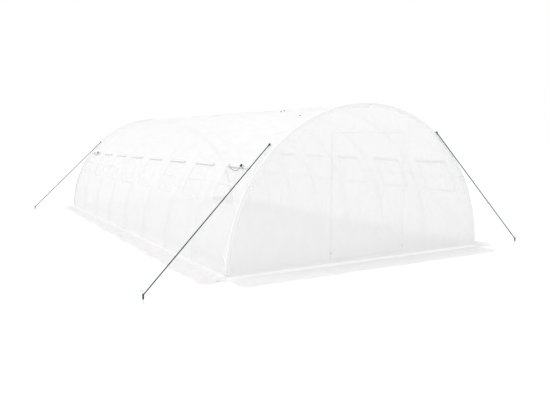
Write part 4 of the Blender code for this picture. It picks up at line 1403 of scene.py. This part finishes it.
# %% Doors, their hems and seams, and the zips' tapes
HEM_HALF = (0.0042, 0.0145)
HEM_OUT, HEM_UP = 0.005, 0.015
TOP_SEAM, TOP_SEAM_OUT = (0.0022, 0.010), 0.0022
TAPE_IN, TAPE_OUT, TAPE_STEPS = -0.004, 0.050, 40
TAPE_TOP = 0.0056
TAPE_RAISED = np.array([0.0006, 0.0040, 0.0052, TAPE_TOP, 0.0052, 0.0036, 0.0005])[:, None]
for end_name, end in ENDS.items():
    body = f"door_{end_name}"
    low_y = min(abs(corner.y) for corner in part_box(body))
    door = piece(
        f"door_sheet_{end_name}", sheet_part(door_part(end, low_y + DOOR_OUT), flip=end > 0), DOOR_FILM,
        body, [body], edge_deg=180,
    )
    reach = extent(body).x / 2
    t = (np.arange(20) + 0.5) * math.pi / 10
    out, up = np.cos(t), np.sin(t)
    outline = np.stack([
        HEM_HALF[0] * np.sign(out) * np.abs(out) ** 0.7, HEM_HALF[1] * np.sign(up) * np.abs(up) ** 0.6
    ], -1)
    hem_y, hem_z = end * (low_y + HEM_OUT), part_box(body)[0].z + HEM_UP
    path = np.stack([np.linspace(-reach, reach, 40), np.full(40, hem_y), np.full(40, hem_z)], -1)
    piece(f"door_hem_{end_name}", carry(path, outline, (0, 0, 1)), TAPE_FILM, body)
    top = block(
        (0, end * (low_y + TOP_SEAM_OUT), DOOR_HEAD + TOP_SEAM_UP), (0, 1, 0), (0, 0, 1), (1, 0, 0),
        (*TOP_SEAM, 2 * reach - 0.01),
    )
    piece(f"door_top_seam_{end_name}", top, TAPE_FILM, body)
    sill, head = (-DOOR_HALF, DOOR_SILL), (DOOR_HALF, DOOR_HEAD)
    ring = rectangle_ring(sill, head, TAPE_IN, TAPE_OUT, len(TAPE_RAISED), TAPE_STEPS)
    tape = np.stack([ring[..., 0], end * (GABLE_Y + TAPE_RAISED + 0 * ring[..., 0]), ring[..., 1]], -1)
    tape = sheet_part(tape, flip=end > 0, close_cols=True)
    piece(f"zip_tape_{end_name}", tape, TAPE_FILM, edge_deg=180)
print("2 doors")

# %% [markdown]
# A zip's chain is two rows of teeth, half a pitch apart, so that they mesh. A door has over a thousand teeth,
# so each is a plain box. The slider is the same on all four zips: one function makes it at its place, and it
# rides on its own body.

# %% A slider
SLIDER_DOWN, SLIDER_IN = 0.018, 0.001
SHIELD, SHIELD_BEVEL = (0.0200, 0.0330, 0.0070), 0.0022
WAIST, WAIST_BEVEL, WAIST_DOWN = (0.0130, 0.0080, 0.0068), 0.0020, 0.014
BRIDGE, BRIDGE_WIRE, BRIDGE_OUT = (0.010, 0.0022), 0.0016, 0.003
LINK, LINK_WIRE, LINK_OUT, LINK_DOWN = (0.0085, 0.0042), 0.0010, 0.0032, 0.017
PULL, PULL_BEVEL, PULL_OUT, PULL_DOWN = (0.0095, 0.0300, 0.0024), 0.0010, 0.0030, 0.038


def slider_part(base, ahead, right, upright):
    """A slider: a shield with a narrower waist under it, a bridge over both, a link and a pull tab."""
    shield = block(base, right, upright, ahead, SHIELD, SHIELD_BEVEL)
    waist = block(base - upright * WAIST_DOWN, right, upright, ahead, WAIST, WAIST_BEVEL)
    turn = np.linspace(0, math.pi, 12)
    arc = np.outer(np.cos(turn) * BRIDGE[0], upright) + np.outer(np.sin(turn) * BRIDGE[1], ahead)
    bridge = tube(base + ahead * BRIDGE_OUT + arc, BRIDGE_WIRE, right, 10)
    link_at = base + ahead * LINK_OUT - upright * LINK_DOWN
    link = tube(link_at + oval(LINK[0] * upright, LINK[1] * right, 28), LINK_WIRE, ahead, 8, closed=True)
    pull_at = base + ahead * PULL_OUT - upright * PULL_DOWN
    pull = block(pull_at, right, upright, ahead, PULL, PULL_BEVEL)
    return together(shield, waist, bridge, link, pull)


# %% Zip chains, and a slider on each
TOOTH_PITCH = 0.0040
TOOTH_LEAN = 0.0011
TOOTH_HALF = (0.0017, 0.0007, 0.0011)
CHAIN_PAST_SILL, CHAIN_PAST_HEAD = 0.02, 0.01
CUBE = np.array([[x, y, z] for z in (-1, 1) for x, y in ((-1, -1), (1, -1), (1, 1), (-1, 1))])
CUBE_FACES = [[3, 2, 1, 0], [4, 5, 6, 7], [0, 1, 5, 4], [1, 2, 6, 5], [2, 3, 7, 6], [3, 0, 4, 7]]
for end_name, end in ENDS.items():
    chain_x = middle(f"zip_slider_{end_name}_right").x
    tape_y = GABLE_Y + TAPE_TOP
    heights = np.arange(DOOR_SILL - CHAIN_PAST_SILL, DOOR_HEAD + CHAIN_PAST_HEAD, TOOTH_PITCH)
    places = [
        np.stack([
            np.full_like(heights, side * chain_x + lean * TOOTH_LEAN), np.full_like(heights, end * tape_y),
            heights + lean * TOOTH_PITCH / 4,
        ], -1)
        for side in (-1, 1) for lean in (-1, 1)
    ]
    chain = repeated((CUBE * np.array(TOOTH_HALF), CUBE_FACES), np.vstack(places))
    piece(f"zip_teeth_{end_name}", chain, ZIP_PLASTIC, edge_deg=30)
    for side_name in SIDES:
        node = f"zip_slider_{end_name}_{side_name}"
        low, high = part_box(node)
        ahead, right, upright = np.array([0, end * 1.0, 0]), np.array([1.0, 0, 0]), np.array([0, 0, 1.0])
        base = np.array([(low.x + high.x) / 2, (low.y + high.y) / 2 - end * SLIDER_IN, high.z - SLIDER_DOWN])
        slider = slider_part(base, ahead, right, upright)
        piece(f"slider_{end_name}_{side_name}", slider, ZIP_PLASTIC, node, [node])
print("4 zips with their sliders")

# %% [markdown]
# ## Windows
#
# Each window has a hem round its opening, a net behind it, and a flap of film. The flap is rolled up: an oval
# spiral along the top of the window, with a strip of film from the flap's seam to the roll. A plain tube would
# look like a roll from the side, but the spiral shows the film's layers at both ends.

# %% The rolled flap
SEAM_DEG = 38.95
ROLL_DEG = 37.7
ROLL = 0.025
ROLL_FLAT = 0.50
ROLL_HOLLOW = 0.0042
ROLL_TURNS = 8
ROLL_STEPS, ROLL_COLUMNS = 15, 35
ROLL_LIFT = 0.004
ROLL_CORE = ROLL_FLAT * ROLL / 2 + ROLL_LIFT
ROLL_END = 0.02
TIE_OFFSET = 0.17
TIE_PINCH = 0.022
FLAP = (WINDOW_WIDTH + 0.06, 0.50)


def roll_part(side, y_mid, seed):
    """A spiral of film: its radius shrinks evenly as it goes round, and the whole roll is drawn in where
    the two ties hold it. A closed tube stands for the tight turns inside, so that no light shows in the
    ends."""
    pick = np.random.default_rng(seed)
    t = np.linspace(0, 2 * math.pi * ROLL_TURNS, ROLL_STEPS * ROLL_TURNS)
    y = np.linspace(-FLAP[0] / 2, FLAP[0] / 2, ROLL_COLUMNS)
    tie = np.exp(-((np.abs(y) - TIE_OFFSET) / TIE_PINCH) ** 2)
    uneven = 1 + 0.05 * np.sin(y * 14 + pick.uniform(0, 6)) - 0.14 * tie
    radius = (ROLL / 2 - (ROLL / 2 - ROLL_HOLLOW) * t / t[-1])[:, None] * uneven[None]
    wobble = 1 + 0.04 * np.sin(2 * t[:, None] + y[None] * 9 + pick.uniform(0, 6))
    at_ends = np.sign(y) * (np.abs(y) > FLAP[0] / 2 - ROLL_END)
    shift = 0.002 * np.sin(t / 3 + pick.uniform(0, 6))[:, None] * at_ends
    out, up = radial(side, ROLL_DEG), tangent(side, ROLL_DEG)
    core = film_point(y_mid + y, turn_at(side, ROLL_DEG), ROLL_CORE)
    cross = -ROLL_FLAT * np.cos(t)[:, None, None] * out - np.sin(t)[:, None, None] * up
    points = core[None] + (radius * wobble)[..., None] * cross
    points[..., 1] += shift
    ends = core[[0, -1]] + np.array([[0, 0.001, 0], [0, -0.001, 0]])
    middle_turns = carry(ends, ROLL / 2 * 0.82 * circle(20) * np.array([1, ROLL_FLAT]), out)
    return together(sheet_part(points, flip=side < 0), middle_turns)


# %% A window's hem, roll and strip
HEM_IN, HEM_WIDE, HEM_STEPS = -0.003, 0.022, 26
HEM_LIFT = np.array([0.0002, 0.0013, 0.0016, 0.0016, 0.0013, 0.0003])[:, None]
STRIP_LIFT, STRIP_GRID = 0.0032, (34, 26)


def window_pieces(side_name, side, bay, y_mid):
    """The raised hem round the opening, the roll above it, and the strip between the roll and its seam."""
    name = f"{side_name}_{bay}"
    body, joint = f"window_flap_{name}", f"window_{name}_unroll"
    low = (y_mid - WINDOW_WIDTH / 2, math.radians(WINDOW_LOW_DEG))
    high = (y_mid + WINDOW_WIDTH / 2, math.radians(WINDOW_TOP_DEG))
    wide = np.array([1, 1 / FILM_LINE])
    ring = rectangle_ring(low, high, HEM_IN * wide, HEM_WIDE * wide, len(HEM_LIFT), HEM_STEPS)
    turn = turn_at(side, np.degrees(ring[..., 1]))
    hem = sheet_part(film_point(ring[..., 0], turn, HEM_LIFT), flip=side > 0, close_cols=True)
    piece(f"window_hem_{name}", hem, HEM_FILM, edge_deg=180)
    spiral = roll_part(side, y_mid, bay * 2 + side)
    roll = piece(f"flap_roll_{name}", spiral, ROLL_FILM, body, [body])
    out = radial(side, ROLL_DEG)
    anchor = film_point(y_mid, turn_at(side, ROLL_DEG), ROLL_LIFT)
    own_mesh(roll)
    rows = turn_at(side, np.linspace(SEAM_DEG, ROLL_DEG, STRIP_GRID[0]))[:, None]
    columns = y_mid + np.linspace(-FLAP[0] / 2, FLAP[0] / 2, STRIP_GRID[1])[None]
    strip = piece(
        f"flap_strip_{name}", sheet_part(film_point(columns, rows, STRIP_LIFT), flip=side < 0), HEM_FILM,
        body=None, edge_deg=180,
    )
    start = film_point(y_mid, turn_at(side, SEAM_DEG))
    tuple(film_point(y_mid, turn_at(side, ROLL_DEG)))
    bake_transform(strip)


# %% Windows and their nets
NET_LIFT, NET_GRID = -0.0035, (22, 24)
NET_MARGIN, NET_MARGIN_DEG = 0.02, 0.7
for side_name, side in SIDES.items():
    nets = []
    for bay, y_mid in enumerate(WINDOW_Y, 1):
        window_pieces(side_name, side, bay, y_mid)
        columns = y_mid + np.linspace(-1, 1, NET_GRID[1])[None] * (WINDOW_WIDTH / 2 + NET_MARGIN)
        lowest, highest = WINDOW_LOW_DEG - NET_MARGIN_DEG, WINDOW_TOP_DEG + NET_MARGIN_DEG
        degrees = np.linspace(lowest, highest, NET_GRID[0])[:, None]
        nets.append(sheet_part(film_point(columns, turn_at(side, degrees), NET_LIFT), flip=side < 0))
    net = piece(
        f"window_nets_{side_name}", together(*nets), INSECT_NET,
        stands_for=[f"window_net_{side_name}"], edge_deg=180,
    )
print(f"{2 * BAYS} windows")

# %% [markdown]
# Two webbing ties hold each roll. At the first and the last window a loop of black elastic with a barrel
# toggle hangs off the roll as well. Three knotted ends of black cord come through the cover not far from its
# ridge.

# %% A tie
TIE_OUTLINE = np.array([
    [-0.0006, -0.006], [0.0006, -0.006], [0.0009, 0], [0.0006, 0.006], [-0.0006, 0.006], [-0.0009, 0],
])
TIE_OVER = 0.0022
TIE_TAIL, TIE_TAIL_BEVEL = (0.0014, 0.014, 0.040), 0.0005
TIE_TAIL_DEG, TIE_TAIL_LIFT = 1.25, 0.0036


def tie_part(side, y_mid, offset):
    """A band round the roll: a flat outline carried round a ring, with a tail sewn to the film above it."""
    out, up = radial(side, ROLL_DEG), tangent(side, ROLL_DEG)
    core = film_point(y_mid + offset, turn_at(side, ROLL_DEG), ROLL_CORE)
    ring = core + (ROLL / 2 * 0.90 + TIE_OVER) * oval(ROLL_FLAT * out, up, 30)
    band = carry(ring, TIE_OUTLINE, (0, 1, 0), closed=True)
    sewn = film_point(y_mid + offset, turn_at(side, ROLL_DEG + TIE_TAIL_DEG), TIE_TAIL_LIFT)
    tail = block(sewn, out, (0, 1, 0), up, TIE_TAIL, TIE_TAIL_BEVEL)
    return together(band, tail)


# %% The elastic and its toggle
TOGGLE = (0.0115, 0.030)
TOGGLE_HEIGHTS = np.array([-0.5, -0.47, -0.36, 0.0, 0.36, 0.47, 0.5]) * TOGGLE[1]
TOGGLE_RADII = np.array([0.55, 0.80, 0.97, 1.0, 0.97, 0.80, 0.55]) * TOGGLE[0]
TOGGLE_ALONG, TOGGLE_LIFT = -0.135, 0.047
BUTTON = ([0.0145, 0.019, 0.0205], [0.0062, 0.0062, 0.0045])
ELASTIC = 0.0022
ELASTIC_RING = 0.0185
ELASTIC_ROUTE = (
    (0.203, 38.15, 0.030), (0.190, 37.5, 0.043), (0.150, 36.9, 0.030), (0.111, 36.45, 0.014),
    (0.05, 36.20, 0.007), (-0.006, 36.25, 0.007), (-0.060, 36.6, 0.014), (-0.105, 37.1, 0.033),
    (-0.132, 37.5, 0.045),
)


def smooth_line(points, many):
    """A smooth curve through a few points: each coordinate is a cubic between knots a unit apart, whose
    slopes are half the step from the point before to the point after."""
    points = np.asarray(points, float)
    slopes = np.gradient(points, axis=0)
    at = np.linspace(0, len(points) - 1, many)
    k = np.minimum(at.astype(int), len(points) - 2)
    t = (at - k)[:, None]
    a, b, m, n = points[k], points[k + 1], slopes[k], slopes[k + 1]
    from_start = (2 * t**3 - 3 * t**2 + 1) * a + (t**3 - 2 * t**2 + t) * m
    return from_start + (3 * t**2 - 2 * t**3) * b + (t**3 - t**2) * n


def toggle_parts(side, y_mid, shift):
    """A loop of elastic that hangs off the roll, and the barrel that locks it. Each point of the loop's route
    has its place along the window, its angle above the ground and its distance from the film."""
    out, up = radial(side, ROLL_DEG), tangent(side, ROLL_DEG)
    points = [film_point(y_mid + shift + y, turn_at(side, d), lift) for y, d, lift in ELASTIC_ROUTE]
    cord = tube(smooth_line(points, 90), ELASTIC, out, 10)
    centre = film_point(y_mid + shift + TOGGLE_ALONG, turn_at(side, ROLL_DEG), TOGGLE_LIFT)
    barrel = turned(centre, up, TOGGLE_HEIGHTS, TOGGLE_RADII, 24, (0, 1, 0))
    button = turned(centre, up, *BUTTON, 20, (0, 1, 0))
    round_roll = film_point(y_mid + shift + TOGGLE_ALONG, turn_at(side, ROLL_DEG), ROLL / 2 + ROLL_LIFT)
    ring = round_roll + ELASTIC_RING * oval(out, up, 40)
    return together(cord, tube(ring, ELASTIC, (0, 1, 0), 10, closed=True)), together(barrel, button)


# %% Ties and toggles on every roll, and the cord ends
TIE_ANCHOR_LIFT = 0.0012
TOGGLE_BAYS = {1: 0.0, 8: -0.135}
CORD_ENDS = ((-2.616, 76.9), (-2.615, 78.4), (-3.544, 68.4))
CORD_KNOT, CORD_KNOT_RADIUS, CORD_KNOT_LIFT = 0.0030, 0.0019, 0.004


def film_knot(side, y, degrees):
    """A short end of black cord that comes through the film and is knotted."""
    out, up = radial(side, degrees), tangent(side, degrees)
    centre = film_point(y, turn_at(side, degrees), CORD_KNOT_LIFT)
    return knot_part(centre, out, up, CORD_KNOT, CORD_KNOT_RADIUS)


for side_name, side in SIDES.items():
    for bay, y_mid in enumerate(WINDOW_Y, 1):
        out = radial(side, ROLL_DEG)
        anchor = film_point(y_mid, turn_at(side, ROLL_DEG), TIE_ANCHOR_LIFT)
        ties = together(*[tie_part(side, y_mid, offset) for offset in (-TIE_OFFSET, TIE_OFFSET)])
        made = [piece(f"roll_ties_{side_name}_{bay}", ties, WHITE_WEBBING)]
        if bay in TOGGLE_BAYS:
            cord, barrel = toggle_parts(side, y_mid, TOGGLE_BAYS[bay])
            made.append(piece(f"tie_cord_{side_name}_{bay}", cord, BLACK_CORD))
            made.append(piece(f"toggle_{side_name}_{bay}", barrel, BLACK_PLASTIC))
        for tie in made:
            tuple(out)
            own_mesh(tie)
knots = [film_knot(SIDES["left"], y, degrees) for y, degrees in CORD_ENDS]
piece("cord_ends_cover", together(*knots), BLACK_CORD)
print("ties, toggles and cord ends")

# %% [markdown]
# ## Floor and light
#
# The photograph has a white ground and soft light from all round. The world lights everything evenly at a
# plain level, and one wide sun, from above and a little to the left, gives the folds their shade. For the
# camera, and in reflections, the world is plain white, and the floor has some glow of its own. It still takes
# the greenhouse's shadow. Under the tunnel the floor has a painted shadow: it is a little greyer there and
# doesn't glow.

# %% Floor
FLOOR_GLOW = 0.45
FLOOR_SEEN = 0.97
FLOOR_UNSEEN = 0.94
UNDER_SHADE = 0.13
SHADE_EDGE = 30.0
FLOOR_SIZE = 160.0
FLOOR_DROP = 0.0008
WHITE = (1.0, 1.0, 1.0, 1.0)


def seen_by(tree):
    """1 for rays from the camera, and for those that a glossy face reflects or that film lets through,
    else 0."""
    rays = tree.nodes.new("ShaderNodeLightPath")
    camera_ray, glossy, through = [
        Socket(tree, rays.outputs[f"Is {kind} Ray"]) for kind in ("Camera", "Glossy", "Transmission")
    ]
    return camera_ray.at_least(glossy).at_least(through)


floor_finish = Finish("floor")
seen = seen_by(floor_finish.tree)
x, y, _ = floor_finish.apart(floor_finish.place())
# Painted shadow: inside the tunnel's footprint the floor is greyer for the camera and loses its glow.
beside, beyond = ((axis * (1 / half)).function("ABSOLUTE") for axis, half in ((x, HOOP_LINE), (y, COVER_END)))
under = ((1 - beside.at_least(beyond)) * SHADE_EDGE).clamped()
grey = seen * (FLOOR_SEEN - FLOOR_UNSEEN - under * UNDER_SHADE) + FLOOR_UNSEEN
grey = floor_finish.node("ShaderNodeCombineColor", {}, {"Red": grey, "Green": grey, "Blue": grey})
matte = floor_finish.node("ShaderNodeBsdfDiffuse", {}, {"Color": grey})
white = floor_finish.node("ShaderNodeEmission", {}, {"Color": WHITE, "Strength": 1.0})
floor_material = floor_finish.done(floor_finish.blended(seen * (1 - under) * FLOOR_GLOW, matte, white))
floor_mesh = bpy.data.meshes.new("floor")
half = FLOOR_SIZE / 2
corners = [(-half, -half, 0), (half, -half, 0), (half, half, 0), (-half, half, 0)]
floor_mesh.from_pydata(corners, [], [[0, 1, 2, 3]])
floor_mesh.materials.append(floor_material)
floor = bpy.data.objects.new("floor", floor_mesh)
floor.location.z = -FLOOR_DROP
bpy.context.scene.collection.objects.link(floor)
print(f"floor of {FLOOR_SIZE:.0f} m")

# %% World and lamp
WORLD_LEVEL = 0.86
LAMP_FROM = (-0.34, 0.04, 0.89)
LAMP_SHARE = 0.32
LAMP_ANGLE_DEG = 25.0
world = bpy.data.worlds.new("studio")
bpy.context.scene.world = world
world.use_nodes = True
world.node_tree.nodes.clear()
level = seen_by(world.node_tree) * (1 - WORLD_LEVEL) + WORLD_LEVEL
sky = Finish.node_in(world.node_tree, "ShaderNodeBackground", {}, {"Color": WHITE, "Strength": level})
world_output = world.node_tree.nodes.new("ShaderNodeOutputWorld")
world.node_tree.links.new(sky.output, world_output.inputs["Surface"])

lamp_data = bpy.data.lights.new("soft_lamp", "SUN")
lamp_data.angle = math.radians(LAMP_ANGLE_DEG)
lamp_data.energy = LAMP_SHARE * math.pi
lamp = bpy.data.objects.new("soft_lamp", lamp_data)
across, along, up = LAMP_FROM
lamp.rotation_euler = (math.atan2(math.hypot(across, along), up), 0, math.atan2(across, -along))
bpy.context.scene.collection.objects.link(lamp)
bpy.context.scene.view_settings.view_transform = "Standard"
print(f"world at {WORLD_LEVEL}, lamp at {LAMP_SHARE}")

# %% How many pieces and faces
print(f"{counts['pieces']} pieces, {counts['faces']} faces")
